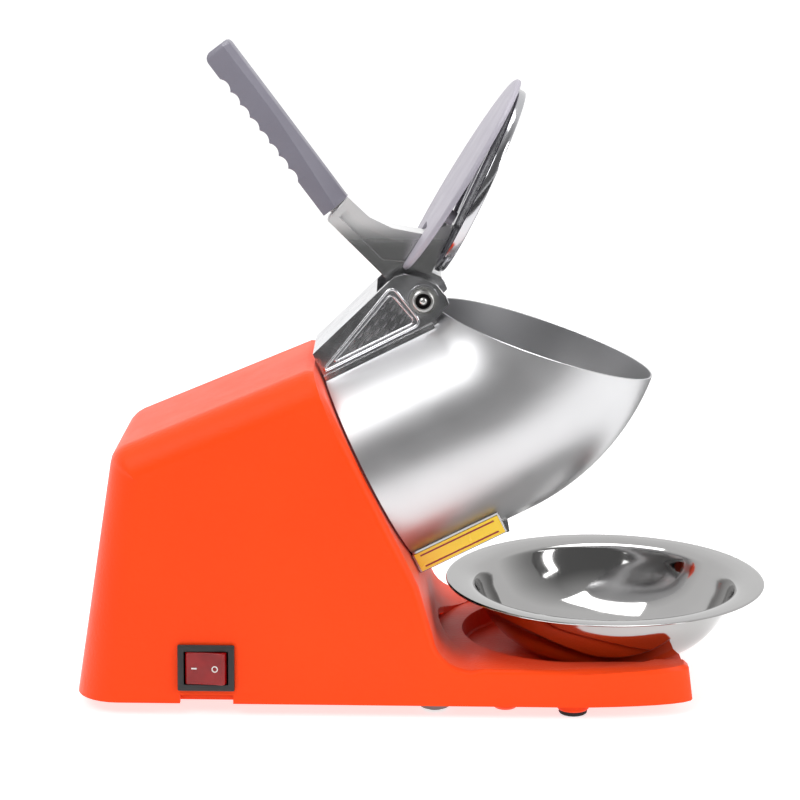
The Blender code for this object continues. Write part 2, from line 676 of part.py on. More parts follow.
# ---- drive --------------------------------------------------------------
def motor():
    drive = bpy.data.objects["drive_frame"]
    bell = [(BELL_BORE, -12.6 * MM), (BELL_BORE, -3.8 * MM), (BELL_R - 1 * MM, -3.8 * MM),
            (BELL_R, -4.8 * MM), (BELL_R, -16 * MM), (42.5 * MM, -16 * MM), (42.5 * MM, -8 * MM),
            (20 * MM, -8 * MM), (20 * MM, -12.6 * MM)]
    front = turned("motor_front_bell", bell, cast_aluminium(), drive, closed=True, segments=20)
    for i, (x, y) in enumerate(screw_places(CHAMBER_SCREW_R, 0)):
        boss = turned(f"bell_boss_{i}", disc_profile(4 * MM, -15 * MM, -5 * MM), None, drive, (x, y, 0),
                      segments=12)
        boolean(front, boss, "UNION")
        drill(front, f"bell_hole_{i}", M4_HOLE, -13 * MM, 0, drive, (x, y, 0), segments=12)
    turned("motor_stator", tube_profile(28 * MM, BELL_R - 0.5 * MM, -62 * MM, -16.3 * MM, 0.8 * MM),
           motor_steel(), drive, closed=True, segments=20)
    rear = [(BELL_BORE, -73.4 * MM), (BELL_BORE, -64.6 * MM), (20 * MM, -64.6 * MM), (20 * MM, -69 * MM),
            (42 * MM, -69 * MM), (42 * MM, -62.3 * MM), (BELL_R, -62.3 * MM), (BELL_R, -72.4 * MM),
            (BELL_R - 1 * MM, -73.4 * MM)]
    turned("motor_rear_bell", rear, cast_aluminium(), drive, closed=True, segments=20)
    for name, low in (("motor_bearing_front", -12.4 * MM), ("motor_bearing_rear", -73.2 * MM)):
        profile = [(SHAFT_R + GAP, low), (15 * MM, low), (15 * MM, low + 8.4 * MM),
                   (13 * MM, low + 8.4 * MM),
                   (12.4 * MM, low + 7.9 * MM), (8 * MM, low + 7.9 * MM), (7.4 * MM, low + 8.4 * MM),
                   (SHAFT_R + GAP, low + 8.4 * MM)]
        turned(name, profile, zinc_steel(), drive, closed=True, segments=20)
    turned("motor_rotor", tube_profile(SHAFT_R + GAP, 27.2 * MM, -58 * MM, -18 * MM, 0.6 * MM),
           motor_steel(), drive, closed=True, segments=24)
    shaft = [(0, -85 * MM), (SHAFT_R - 0.6 * MM, -85 * MM), (SHAFT_R, -84.4 * MM), (SHAFT_R, 62 * MM),
             (SHAFT_R - 0.6 * MM, 62.6 * MM), (0, 62.6 * MM)]
    turned("motor_shaft", shaft, zinc_steel(), drive, segments=32)
    fan()
    turned("shaft_seal", [(SHAFT_R + GAP, -3.4 * MM), (14 * MM, -3.4 * MM), (14 * MM, 0.6 * MM),
                          (9 * MM, 0.6 * MM),
                          (7.5 * MM, 2.4 * MM), (SHAFT_R + GAP, 2.4 * MM)], black_rubber(), drive,
                          closed=True, segments=20)


def fan():
    drive = bpy.data.objects["drive_frame"]
    hub = turned("motor_fan", tube_profile(SHAFT_R + GAP, 11 * MM, -84 * MM, -75.5 * MM),
                 black_plastic(), drive, closed=True, segments=20)
    for i in range(FAN_BLADES):
        turn = 2 * pi * i / FAN_BLADES
        blade = box(f"fan_blade_{i}", (9 * MM, -0.9 * MM, -83.5 * MM), (FAN_R, 0.9 * MM, -76.5 * MM),
                    None, drive, rot=(0, 0, turn))
        boolean(hub, blade, "UNION")


def blade_group():
    drive = bpy.data.objects["drive_frame"]
    disc = turned("blade_disc", tube_profile(SHAFT_R + GAP, DISC_R, DISC_Z, DISC_Z + DISC_T,
                                             0.5 * MM), stainless(),
                  drive, closed=True, segments=HOPPER_SIDES)
    for i in range(2):
        turn = pi * i
        window = box(f"blade_window_{i}", (BLADE_FROM, -5 * MM, DISC_Z - 2 * MM),
                     (BLADE_TO, 3 * MM, DISC_Z + 8 * MM), None, drive, rot=(0, 0, turn))
        boolean(disc, window)
        seat = box(f"blade_seat_{i}", (BLADE_FROM, 2.6 * MM, DISC_Z + 2.2 * MM),
                   (BLADE_TO, 17 * MM, DISC_Z + 9 * MM), None, drive, rot=(0, 0, turn))
        boolean(disc, seat)
        z = DISC_Z + 2.2 * MM + GAP
        outline = [(1.2 * MM, z + 3.6 * MM), (3.2 * MM, z), (16.4 * MM, z), (16.4 * MM, z + 2 * MM),
                   (5.5 * MM, z + 2.2 * MM)]
        blade = blade_solid(f"blade_{i + 1}", outline, BLADE_FROM + 1 * MM, BLADE_TO - 1 * MM, drive, turn)
        place = Matrix.Rotation(turn, 3, "Z") @ Vector((BLADE_SCREW_X, 10 * MM, 0))
        for piece, hole in ((disc, "disc_hole"), (blade, "blade_hole")):
            drill(piece, f"{hole}_{i}", M3_HOLE, DISC_Z - 2 * MM, DISC_Z + 9 * MM, drive, place)
        screw(f"blade_screw_{i + 1}", 2.8 * MM, 1.2 * MM, M3, 5 * MM, zinc_steel(), drive,
              (place.x, place.y, z + 2.5 * MM), (0, 0, turn))
    nut = hexagon(DISC_NUT_R)
    body = prism("disc_nut", nut, DISC_Z + DISC_T + GAP, DISC_Z + DISC_T + 4 * MM, zinc_steel(), drive,
                 axis="Z")
    drill(body, "nut_hole", SHAFT_R + GAP, 50 * MM, 70 * MM, drive, segments=32)


def blade_solid(name, outline, low, high, drive, turn):
    """Blade along local X with its (y, z) section given."""
    bm = bmesh.new()
    ends = [[bm.verts.new((x, p[0], p[1])) for p in outline] for x in (low, high)]
    bm.faces.new(ends[0])
    bm.faces.new(ends[1])
    count = len(outline)
    for i in range(count):
        j = (i + 1) % count
        bm.faces.new((ends[0][i], ends[0][j], ends[1][j], ends[1][i]))
    return link(name, to_mesh(name, bm), blade_steel(), drive, rot=(0, 0, turn))


def electrics():
    cap = [(0, -26 * MM), (14 * MM, -26 * MM), (15 * MM, -25 * MM), (15 * MM, 25 * MM), (14 * MM, 26 * MM),
           (0, 26 * MM)]
    turned("run_capacitor", cap, black_plastic(), None, (CAPACITOR_X, -0.002, CAPACITOR_Z), ALONG_Y, 32)
    clip = [(-24 * MM, 10.1 * MM), (-17 * MM, 10.1 * MM)] + arc(0, CAPACITOR_Z, 15.6 * MM, 188, -8, 12)
    clip += [(17 * MM, 10.1 * MM), (24 * MM, 10.1 * MM), (24 * MM, 11.5 * MM), (18.4 * MM, 11.5 * MM)]
    clip += arc(0, CAPACITOR_Z, 17 * MM, -8, 188, 12) + [(-18.4 * MM, 11.5 * MM), (-24 * MM, 11.5 * MM)]
    prism("capacitor_clip", clip, -6 * MM, 6 * MM, zinc_steel(), None, (CAPACITOR_X, -0.002, 0),
          smooth_angle=30)
    block = box("terminal_block", (-0.110, 0.034, 10.1 * MM), (-0.070, 0.050, 24 * MM), grey_plastic())
    for i in range(3):
        x = -0.104 + 0.0135 * i
        drill(block, f"terminal_cut_{i}", 2 * MM, 18 * MM, 30 * MM, None, (x + 0.0005, 0.042, 0),
              segments=12)


# ---- hopper -------------------------------------------------------------
def hopper_rings(radius, rear_z, segments=HOPPER_SIDES):
    """Rings of the hopper skin in the drive frame."""
    rings = []
    turns = [2 * pi * i / segments for i in range(segments)]
    for z in (rear_z, 20 * MM, 45 * MM, PIVOT_TO_FACE):
        rings.append([(radius * cos(t), radius * sin(t), z) for t in turns])
    sweep = pi / 2 - DRIVE_TILT - MOUTH_TILT
    steps = 6
    for k in range(1, steps + 1):
        ring = []
        for t in turns:
            arm = PIVOT_TO_TUBE_AXIS + radius * cos(t)
            turn = (sweep - asin(min(1.0, MOUTH_DROP / arm))) * k / steps
            ring.append((arm * cos(turn) - PIVOT_TO_TUBE_AXIS, radius * sin(t),
                         PIVOT_TO_FACE + arm * sin(turn)))
        rings.append(ring)
    return rings


def hopper():
    drive = bpy.data.objects["drive_frame"]
    outer = hopper_rings(HOPPER_R, 1.5 * MM)
    inner = hopper_rings(HOPPER_R - HOPPER_WALL, 2.5 * MM)
    turns = [2 * pi * i / HOPPER_SIDES for i in range(HOPPER_SIDES)]
    bore = HOPPER_FLOOR_BORE
    floor_top = [(bore * cos(t), bore * sin(t), 2.5 * MM) for t in turns]
    floor_low = [(bore * cos(t), bore * sin(t), 1.5 * MM) for t in turns]
    rings = list(reversed(outer)) + [floor_low, floor_top] + inner
    body = link("hopper", rings_mesh("hopper", rings, True, 35), stainless(), drive)
    # lever notch through the crown, and the outlet in the floor
    notch = box("crown_notch", (-80 * MM, -CROWN_NOTCH_HALF, 61 * MM),
                (-50 * MM, CROWN_NOTCH_HALF, 100 * MM), None, drive)
    boolean(body, notch)
    outlet = box("outlet_cut", (40 * MM, -OUTLET_HALF, 5 * MM), (80 * MM, OUTLET_HALF, 50 * MM), None, drive)
    boolean(body, outlet)
    for i, (x, y) in enumerate(screw_places(HOPPER_SCREW_R, HOPPER_SCREW_START)):
        drill(body, f"hopper_hole_{i}", M4_HOLE, -4 * MM, 8 * MM, drive, (x, y, 0), segments=12)
    for i, z in enumerate(BRACKET_SCREW_Z):
        drill(body, f"hopper_top_hole_{i}", M4_HOLE, -80 * MM, -50 * MM, drive, (0, 0, z),
              (0, radians(90), 0), 16)
    gasket = turned("hopper_gasket", tube_profile(HOPPER_FLOOR_BORE, HOPPER_R - 1.5 * MM, GAP, 1.2 * MM),
                    black_rubber(), drive, closed=True, segments=HOPPER_SIDES)
    for i, (x, y) in enumerate(screw_places(HOPPER_SCREW_R, HOPPER_SCREW_START)):
        drill(gasket, f"gasket_hole_{i}", M4_HOLE, -4 * MM, 8 * MM, drive, (x, y, 0), segments=12)
        drill(bpy.data.objects["body_shell"], f"hopper_screw_cut_{i}", M4_HOLE, -8 * MM, 8 * MM, drive,
              (x, y, 0))
        screw(f"hopper_screw_{i + 1}", M4_HEAD_R, M4_HEAD_H, M4, M4_LENGTH, zinc_steel(), drive,
              (x, y, 2.8 * MM))
    for i, (x, y) in enumerate(screw_places(CHAMBER_SCREW_R, 0)):
        screw(f"motor_screw_{i + 1}", M4_HEAD_R, M4_HEAD_H, M4, M4_LENGTH, zinc_steel(), drive, (x, y, GAP))
    return body


def chute_section(inset):
    s = CHUTE_SIDE - inset
    low = 61.8 * MM + (9 * MM if inset else 0)
    deep = 66.5 * MM + (9 * MM if inset else 0)
    return [(30 * MM, -s), (low, -s), (deep, -25 * MM), (deep, 25 * MM), (low, s), (30 * MM, s)]


def outlet_chute():
    drive = bpy.data.objects["drive_frame"]
    chute = prism("outlet_chute", chute_section(0), 0.6 * MM, CHUTE_END_Z, mirror_steel(), drive, axis="Z")
    boolean(chute, prism("chute_inside", chute_section(1.6 * MM), 2.2 * MM, CHUTE_END_Z - 1.6 * MM,
                         None, drive, axis="Z"))
    boolean(chute, turned("chute_saddle", disc_profile(HOPPER_R + 1.3 * MM, -1 * MM, 1.6 * MM), None, drive,
                          segments=HOPPER_SIDES))
    boolean(chute, turned("chute_saddle_2", disc_profile(HOPPER_R + GAP, -1 * MM, 70 * MM), None, drive,
                          segments=HOPPER_SIDES))
    boolean(chute, box("chute_gap", (-80 * MM, -80 * MM, -5 * MM), (46 * MM, 80 * MM, 80 * MM), None,
                       drive))
    for sign in (-1, 1):
        drill(chute, f"chute_hole_{sign}", M3_HOLE, -5 * MM, 6 * MM, drive,
              (CHUTE_SCREW_X, sign * CHUTE_SCREW_Y, 0), segments=12)
        screw(f"chute_screw_{2 if sign > 0 else 1}", 2.4 * MM, 1.6 * MM, M3, 9 * MM, zinc_steel(), drive,
              (CHUTE_SCREW_X, sign * CHUTE_SCREW_Y, 2.5 * MM))
    box("chute_label", (50.8 * MM, -CHUTE_SIDE - 0.8 * MM, 2 * MM), (61.2 * MM, -CHUTE_SIDE - GAP, 53 * MM),
        yellow_film(), drive)


# ---- bracket and pivot --------------------------------------------------
def bracket_point(z, perp):
    """(x, z) in the drive frame: z ahead of the face, perp below the lever axis."""
    return (perp - PIVOT_TO_TUBE_AXIS, z)


def bracket_outline():
    pts = [(BRACKET_REAR_Z, 26 * MM), (BRACKET_REAR_Z, 0.0), (56 * MM, -17 * MM)]
    pivot_z = PIVOT_TO_FACE
    pts += [(61 * MM, -18.2 * MM), (66 * MM, -17.2 * MM)]
    pts += [(73.5 * MM, -11.2 * MM), (79.2 * MM, -3.6 * MM), (81 * MM, 4 * MM), (80.6 * MM, 8.6 * MM)]
    lip = 12.6 * MM
    pts += [(pivot_z + lip * sin(radians(a)), lip * cos(radians(a))) for a in (36, 22, 8)]
    pts += [(pivot_z - 0.5 * MM, 26 * MM)]
    return [bracket_point(z, p) for z, p in pts]


def pivot_bracket():
    drive = bpy.data.objects["drive_frame"]
    outline = bracket_outline()
    bracket = prism("pivot_bracket", outline, -BRACKET_OUT, -BRACKET_IN, cast_aluminium(), drive)
    boolean(bracket, prism("bracket_far", outline, BRACKET_IN, BRACKET_OUT, None, drive), "UNION")
    web = [(BRACKET_REAR_Z, 0.0), (48 * MM, -14.57 * MM), (48 * MM, -11.4 * MM), (3.9 * MM, 1.98 * MM),
           (3.9 * MM, 26 * MM), (BRACKET_REAR_Z, 26 * MM)]
    web = [bracket_point(z, p) for z, p in web]
    boolean(bracket, prism("bracket_web", web, -BRACKET_IN - 1 * MM, BRACKET_IN + 1 * MM, None, drive),
            "UNION")
    floor = [bracket_point(z, p) for z, p in ((2 * MM, 5.4 * MM), (47 * MM, 5.4 * MM), (47 * MM, 26 * MM),
                                              (2 * MM, 26 * MM))]
    boolean(bracket, prism("bracket_floor", floor, -BRACKET_IN - 1 * MM, BRACKET_IN + 1 * MM, None,
                           drive), "UNION")
    foot = [bracket_point(z, p) for z, p in ((BRACKET_REAR_Z, 13.4 * MM), (68 * MM, 13.4 * MM),
                                             (68 * MM, 26 * MM), (BRACKET_REAR_Z, 26 * MM))]
    for sign in (-1, 1):
        low, high = sorted((sign * (BRACKET_OUT - 1 * MM), sign * (BRACKET_OUT + 2.6 * MM)))
        boolean(bracket, prism(f"bracket_foot_{sign}", foot, low, high, None, drive), "UNION")
        boss = turned(f"pivot_boss_{sign}", disc_profile(8.5 * MM, BRACKET_OUT - 1 * MM,
                                                         BRACKET_OUT + 0.8 * MM), None,
                      drive, (-PIVOT_TO_TUBE_AXIS, 0, PIVOT_TO_FACE), (-sign * radians(90), 0, 0), 40)
        boolean(bracket, boss, "UNION")
        triangle = [bracket_point(z, p) for z, p in ((6 * MM, 10.2 * MM), (52 * MM, -11 * MM),
                                                     (57 * MM, -11 * MM),
                                                     (61 * MM, 4 * MM), (58 * MM, 10.2 * MM))]
        low, high = sorted((sign * (BRACKET_OUT - 1.2 * MM), sign * (BRACKET_OUT + 3 * MM)))
        boolean(bracket, prism(f"bracket_recess_{sign}", triangle, low, high, None, drive))
    boolean(bracket, turned("bracket_saddle", disc_profile(HOPPER_R + GAP, -5 * MM, 90 * MM), None, drive,
                            segments=96))
    drill(bracket, "bracket_bore", BOLT_HOLE, -40 * MM, 40 * MM, drive,
          (-PIVOT_TO_TUBE_AXIS, 0, PIVOT_TO_FACE), ALONG_Y, 32)
    for i, z in enumerate(BRACKET_SCREW_Z):
        drill(bracket, f"bracket_screw_hole_{i}", M4_HOLE, -70 * MM, -45 * MM, drive, (0, 0, z),
              (0, radians(90), 0), 16)
        screw(f"bracket_screw_{i + 1}", 3.6 * MM, 2 * MM, M4, 3.8 * MM, zinc_steel(), drive,
              (-HOPPER_R + HOPPER_WALL + 0.8 * MM, 0, z), (0, radians(90), 0))
    return bracket


def pivot_bolt():
    at = PIVOT
    out = BRACKET_OUT + 0.8 * MM
    bolt = [(0, -34.5 * MM), (3.4 * MM, -34.5 * MM), (4 * MM, -34 * MM), (4 * MM, out + 1.5 * MM),
            (6.0 * MM, out + 1.5 * MM), (6.0 * MM, out + 3.4 * MM), (5.2 * MM, out + 4.2 * MM),
            (4.2 * MM, out + 4.2 * MM), (3.9 * MM, out + 3.2 * MM), (3.3 * MM, out + 3.2 * MM),
            (2.4 * MM, out + 4.4 * MM), (0, out + 5.0 * MM)]
    turned("pivot_bolt", bolt, zinc_steel(), None, at, ALONG_Y, 20)
    washer = tube_profile(BOLT_HOLE, 7.6 * MM, out + GAP, out + 1.2 * MM)
    turned("pivot_washer_1", washer, zinc_steel(), None, at, ALONG_Y, 16, True)
    turned("pivot_washer_2", washer, zinc_steel(), None, at, AGAINST_Y, 16, True)
    nut = prism("pivot_nut", hexagon(6.6 * MM), out + 1.5 * MM, out + 5 * MM, zinc_steel(), None, at,
                AGAINST_Y, "Z")
    drill(nut, "pivot_nut_hole", BOLT_HOLE, 20 * MM, 40 * MM, None, at, AGAINST_Y, 32)


# ---- lever and presser --------------------------------------------------
def lever_arm():
    axis = bpy.data.objects["lever_axis"]
    u = Vector((cos(PRESS_ANGLE), sin(PRESS_ANGLE)))
    n = Vector((sin(PRESS_ANGLE), -cos(PRESS_ANGLE)))

    def at_plate(along, perp):
        p = u * along + n * perp
        return p.x, p.y
    back = -0.4 * MM - GAP
    outline = [(-52.6 * MM, 41.2 * MM), (-19.5 * MM, 8.2 * MM), (-11.5 * MM, 0.4 * MM)]
    outline += arc(0, 0, HUB_R - 0.6 * MM, 200, 352, 7)
    outline += [at_plate(13.2 * MM, back + 6 * MM), at_plate(13.2 * MM, back), at_plate(40 * MM, back),
                at_plate(40 * MM, back - 4 * MM)]
    outline += [(0.6 * MM, 33.6 * MM), (-16.5 * MM, 36.8 * MM), (-29.5 * MM, 43.0 * MM),
                (-41.2 * MM, 54.0 * MM)]
    arm = prism("lever_arm", outline, -ARM_HALF, ARM_HALF, cast_aluminium(), axis, smooth_angle=30)
    hub_tool = turned("hub_block", disc_profile(HUB_R, -BRACKET_IN + 0.5 * MM, BRACKET_IN - 0.5 * MM),
                      None, axis, rot=ALONG_Y, segments=36)
    boolean(arm, hub_tool, "UNION")
    pocket = [(-46 * MM, 43 * MM), (-22 * MM, 19 * MM), (-9 * MM, 18 * MM), (-6 * MM, 28 * MM),
              (-18 * MM, 31 * MM), (-32 * MM, 37.5 * MM), (-41.5 * MM, 47 * MM)]
    for sign in (-1, 1):
        low, high = sorted((sign * (ARM_HALF - 2.4 * MM), sign * (ARM_HALF + 2 * MM)))
        boolean(arm, prism(f"arm_pocket_{sign}", pocket, low, high, None, axis))
    tang = oriented_box("arm_tang", grip_point(-1.5 * MM, 4.2 * MM), grip_point(42 * MM, 12.4 * MM),
                        -TANG_HALF, TANG_HALF, None, axis)
    boolean(arm, tang, "UNION")
    drill(arm, "arm_bore", BOLT_HOLE, -40 * MM, 40 * MM, axis, rot=ALONG_Y, segments=32)
    drill(arm, "tang_bore", GRIP_SCREW_R + GAP, -40 * MM, 40 * MM, axis, grip_screw_place(), ALONG_Y, 14)
    for sign in (-1, 1):
        place = at_plate(PRESS_SCREW_AT, back)
        drill(arm, f"press_bolt_hole_{sign}", M3_HOLE, -8 * MM, 3 * MM, axis,
              (place[0], sign * PRESS_SCREW_Y, place[1]), (0, pi - PRESS_ANGLE, 0), 14)
    return arm


def grip_point(along, side):
    p = GRIP_LOW + GRIP_DIR * along + GRIP_SIDE * side
    return p.x, p.y


def grip_screw_place():
    x, z = grip_point(24 * MM, 8.3 * MM)
    return (x, 0, z)


def oriented_box(name, a, b, low, high, mat, parent):
    """Box along the grip direction between two corner points of its side view."""
    pa = Vector(a) - GRIP_LOW
    pb = Vector(b) - GRIP_LOW
    s0, t0 = pa.dot(GRIP_DIR), pa.dot(GRIP_SIDE)
    s1, t1 = pb.dot(GRIP_DIR), pb.dot(GRIP_SIDE)
    outline = [grip_point(s0, t0), grip_point(s1, t0), grip_point(s1, t1), grip_point(s0, t1)]
    return prism(name, outline, low, high, mat, parent)


def lever_grip():
    axis = bpy.data.objects["lever_axis"]
    outline = [grip_point(0.4 * MM, GRIP_DEPTH), grip_point(0.4 * MM, 0.4 * MM)]
    start = 24 * MM
    for i in range(SCALLOPS):
        for j in range(4):
            s = start + SCALLOP_PITCH * (i + j / 4)
            outline.append(grip_point(s, 1.7 * MM * sin(pi * j / 4)))
    end = start + SCALLOPS * SCALLOP_PITCH
    outline += [grip_point(end, 0), grip_point(end + 5 * MM, 0.2 * MM),
                grip_point(GRIP_LENGTH - 7 * MM, 0.6 * MM),
                grip_point(GRIP_LENGTH - 2.6 * MM, 2.8 * MM), grip_point(GRIP_LENGTH, 7 * MM),
                grip_point(GRIP_LENGTH + 1.6 * MM, 12.5 * MM),
                grip_point(GRIP_LENGTH - 0.4 * MM, 15.6 * MM),
                grip_point(GRIP_LENGTH - 3.6 * MM, 16.4 * MM), grip_point(60 * MM, 16.0 * MM)]
    grip = prism("lever_grip", outline, -GRIP_HALF, GRIP_HALF, grey_plastic(), axis)
    bevel(grip, 2.2 * MM, 2, 50)
    socket = oriented_box("grip_socket", grip_point(-5 * MM, 3.9 * MM), grip_point(42.3 * MM, 12.7 * MM),
                          -TANG_HALF - GAP, TANG_HALF + GAP, None, axis)
    boolean(grip, socket)
    x, y, z = grip_screw_place()
    drill(grip, "grip_bore", GRIP_SCREW_R + GAP, -9 * MM, 20 * MM, axis, (x, y, z), AGAINST_Y, 14)
    drill(grip, "grip_sink", 3.4 * MM + GAP, GRIP_HALF - 2.6 * MM, 20 * MM, axis, (x, y, z), AGAINST_Y, 20)
    screw("grip_screw", 3.4 * MM, 2 * MM, GRIP_SCREW_R, 17 * MM, zinc_steel(), axis,
          (x, GRIP_HALF - 2.3 * MM, z), AGAINST_Y)
    return grip


def presser():
    axis = bpy.data.objects["lever_axis"]
    front = 4.6 * MM
    back = -0.4 * MM
    u = Vector((cos(PRESS_ANGLE), 0, sin(PRESS_ANGLE)))
    rot = (0, pi - PRESS_ANGLE, 0)
    profile = [(0, 1.8 * MM), (PRESS_R - 4 * MM, 1.8 * MM), (PRESS_R - 3.2 * MM, back),
               (PRESS_R - 1.0 * MM, back),
               (PRESS_R, back + 1 * MM), (PRESS_R, front - 1.2 * MM), (PRESS_R - 1.2 * MM, front),
               (0, front)]
    plate = turned("presser_plate", profile, cast_aluminium(), axis, u * PRESS_CENTRE, rot, 40)
    # local +X of the plate points back to the lever axis
    pad = box("presser_pad", (28 * MM, -12 * MM, back), (PRESS_R - 0.8 * MM, 12 * MM, 2.6 * MM), None, axis,
              u * PRESS_CENTRE, rot)
    boolean(plate, pad, "UNION")
    rib = box("presser_rib", (-PRESS_R + 2 * MM, -2 * MM, back), (32 * MM, 2 * MM, 2.6 * MM), None, axis,
              u * PRESS_CENTRE, rot)
    boolean(plate, rib, "UNION")
    n = Vector((sin(PRESS_ANGLE), 0, -cos(PRESS_ANGLE)))
    for sign in (-1, 1):
        spot = u * PRESS_SCREW_AT + Vector((0, sign * PRESS_SCREW_Y, 0))
        tool = turned(f"presser_bolt_hole_{sign}", disc_profile(M3_HOLE, -6 * MM, 10 * MM), None, axis,
                      spot, rot, 12)
        boolean(plate, tool)
        sink = turned(f"presser_sink_{sign}", disc_profile(3.0 * MM + GAP, 2.4 * MM, 10 * MM), None, axis,
                      spot, rot, 20)
        boolean(plate, sink)
        screw(f"presser_screw_{1 if sign < 0 else 2}", 2.7 * MM, 1.5 * MM, M3, 9 * MM, zinc_steel(), axis,
              spot + n * (2.7 * MM), rot)


def presser_cover():
    axis = bpy.data.objects["lever_axis"]
    u = Vector((cos(COVER_ANGLE), 0, sin(COVER_ANGLE)))
    n = Vector((sin(COVER_ANGLE), 0, -cos(COVER_ANGLE)))
    at = u * COVER_CENTRE - n * COVER_BEHIND
    rot = (0, pi - COVER_ANGLE, 0)
    t = COVER_T / 2
    profile = [(0, -t), (COVER_R - 1.2 * MM, -t), (COVER_R, -t + 1.0 * MM), (COVER_R, t - 0.6 * MM),
               (COVER_R - 0.6 * MM, t), (0, t)]
    cover = turned("presser_cover", profile, grey_plastic(), axis, at, rot, 44)
    slot = box("cover_slot", (33 * MM, -ARM_HALF - 1.2 * MM, -10 * MM),
               (70 * MM, ARM_HALF + 1.2 * MM, 10 * MM), None, axis, at, rot)
    boolean(cover, slot)
    # the posts reach almost to the back of the plate, which leans towards the cover
    turn = Matrix.Rotation(pi - COVER_ANGLE, 3, "Y")
    for i, (along, y) in enumerate(COVER_POSTS):
        place = at + turn @ Vector((COVER_CENTRE - along, y, 0))
        height = 11.5 * MM - along * sin(PRESS_ANGLE - COVER_ANGLE)
        post = turned(f"cover_post_{i}", disc_profile(4 * MM, t - 0.6 * MM, t + height), None, axis,
                      place, rot, 20)
        boolean(cover, post, "UNION")


# ---- bowl ---------------------------------------------------------------
def bowl():
    t = 0.9 * MM
    low = WELL_FLOOR_Z + GAP
    rim = BOWL_RIM_Z
    outer = [(0, low + 0.8 * MM), (31 * MM, low + 0.8 * MM), (33 * MM, low), (37 * MM, low)]
    outer += [(45 * MM, low + 2.6 * MM), (55 * MM, low + 8.2 * MM), (64 * MM, low + 16.8 * MM),
              (71 * MM, low + 28 * MM), (75.4 * MM, rim - 3.2 * MM), (79 * MM, rim - 1.6 * MM),
              (85 * MM, rim - 0.9 * MM), (BOWL_R, rim - 1.1 * MM)]
    inner = [(BOWL_R, rim - 0.2 * MM), (85 * MM, rim), (78.6 * MM, rim - 0.7 * MM),
             (74.4 * MM, rim - 3.6 * MM),
             (70.1 * MM, low + 28.4 * MM), (63.3 * MM, low + 17.5 * MM), (54.6 * MM, low + 9 * MM),
             (44.8 * MM, low + 3.5 * MM), (37 * MM, low + t), (33.4 * MM, low + t),
             (31.2 * MM, low + t + 0.8 * MM), (0, low + t + 0.8 * MM)]
    turned("bowl", outer + inner, mirror_steel(), None, (BOWL_X, 0, 0), segments=40, smooth_angle=60)


def build():
    clear()
    empty("drive_frame", FACE, DRIVE_ROT)
    empty("lever_axis", PIVOT)
    switch_frame()
    body_shell()
    base_and_feet()
    switch()
    lead_bush()
    motor()
    blade_group()
    electrics()
    hopper()
    outlet_chute()
    pivot_bracket()
    pivot_bolt()
    lever_arm()
    lever_grip()
    presser()
    presser_cover()
    bowl()


build()
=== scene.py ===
"""Looks of the shaved ice machine: smooth surfaces, materials, light and camera.

Metres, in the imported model's frame: +X towards the bowl, +Z up, Z = 0 where the feet stand.
"""

import json
from math import asin, cos, pi, radians, sin, sqrt

import bmesh
import bpy
from mathutils import Matrix, Vector


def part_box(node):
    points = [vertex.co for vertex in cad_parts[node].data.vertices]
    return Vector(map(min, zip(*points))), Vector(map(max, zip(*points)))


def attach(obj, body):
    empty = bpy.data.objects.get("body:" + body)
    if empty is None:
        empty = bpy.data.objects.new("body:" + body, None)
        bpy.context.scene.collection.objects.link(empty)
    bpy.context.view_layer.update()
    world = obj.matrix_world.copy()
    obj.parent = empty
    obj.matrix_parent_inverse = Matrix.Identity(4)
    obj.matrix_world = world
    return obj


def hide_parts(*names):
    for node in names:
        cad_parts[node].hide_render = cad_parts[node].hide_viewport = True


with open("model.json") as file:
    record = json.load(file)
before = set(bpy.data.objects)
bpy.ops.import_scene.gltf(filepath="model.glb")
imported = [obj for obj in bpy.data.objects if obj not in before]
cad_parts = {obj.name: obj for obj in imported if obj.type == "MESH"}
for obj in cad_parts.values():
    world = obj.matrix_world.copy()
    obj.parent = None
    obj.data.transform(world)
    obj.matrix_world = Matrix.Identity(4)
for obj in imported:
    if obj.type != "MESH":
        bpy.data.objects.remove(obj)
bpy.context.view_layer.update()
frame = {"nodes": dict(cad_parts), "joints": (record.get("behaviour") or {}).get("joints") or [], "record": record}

MM = 0.001
NODES = frame["nodes"]
RECORD = frame["record"]
JOINTS = {joint["name"]: joint for joint in frame["joints"]}
SLOT_OF = {part["node"]: part["material_slot"] for part in RECORD["subparts"]}
BODY_OF = {node: body for body, nodes in RECORD["behaviour"]["bodies"].items() for node in nodes}

# ---- places read from the frame -----------------------------------------
PIVOT = Vector(JOINTS["lever_hinge"]["pos_m"])
FACE = Vector(JOINTS["rotor_spin"]["pos_m"])
DRIVE_AXIS = Vector(JOINTS["rotor_spin"]["axis"]).normalized()
DOWN_FACE = Vector((DRIVE_AXIS.z, 0, -DRIVE_AXIS.x))
DRIVE_TILT = asin(DRIVE_AXIS.z)
DRIVE = Matrix.Translation(FACE) @ Matrix.Rotation(pi / 2 - DRIVE_TILT, 4, "Y")
PIVOT_TO_FACE = (PIVOT - FACE).dot(DRIVE_AXIS)
PIVOT_TO_TUBE_AXIS = -(PIVOT - FACE).dot(DOWN_FACE)


def middle(node):
    low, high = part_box(node)
    return (low + high) / 2


def extent(node):
    low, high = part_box(node)
    return high - low


HOPPER_R = extent("hopper").y / 2
BOWL_R = extent("bowl").y / 2
BOWL_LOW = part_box("bowl")[0].z
BOWL_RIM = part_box("bowl")[1].z
PRESS_R = extent("presser_plate").y / 2
COVER_R = extent("presser_cover").y / 2

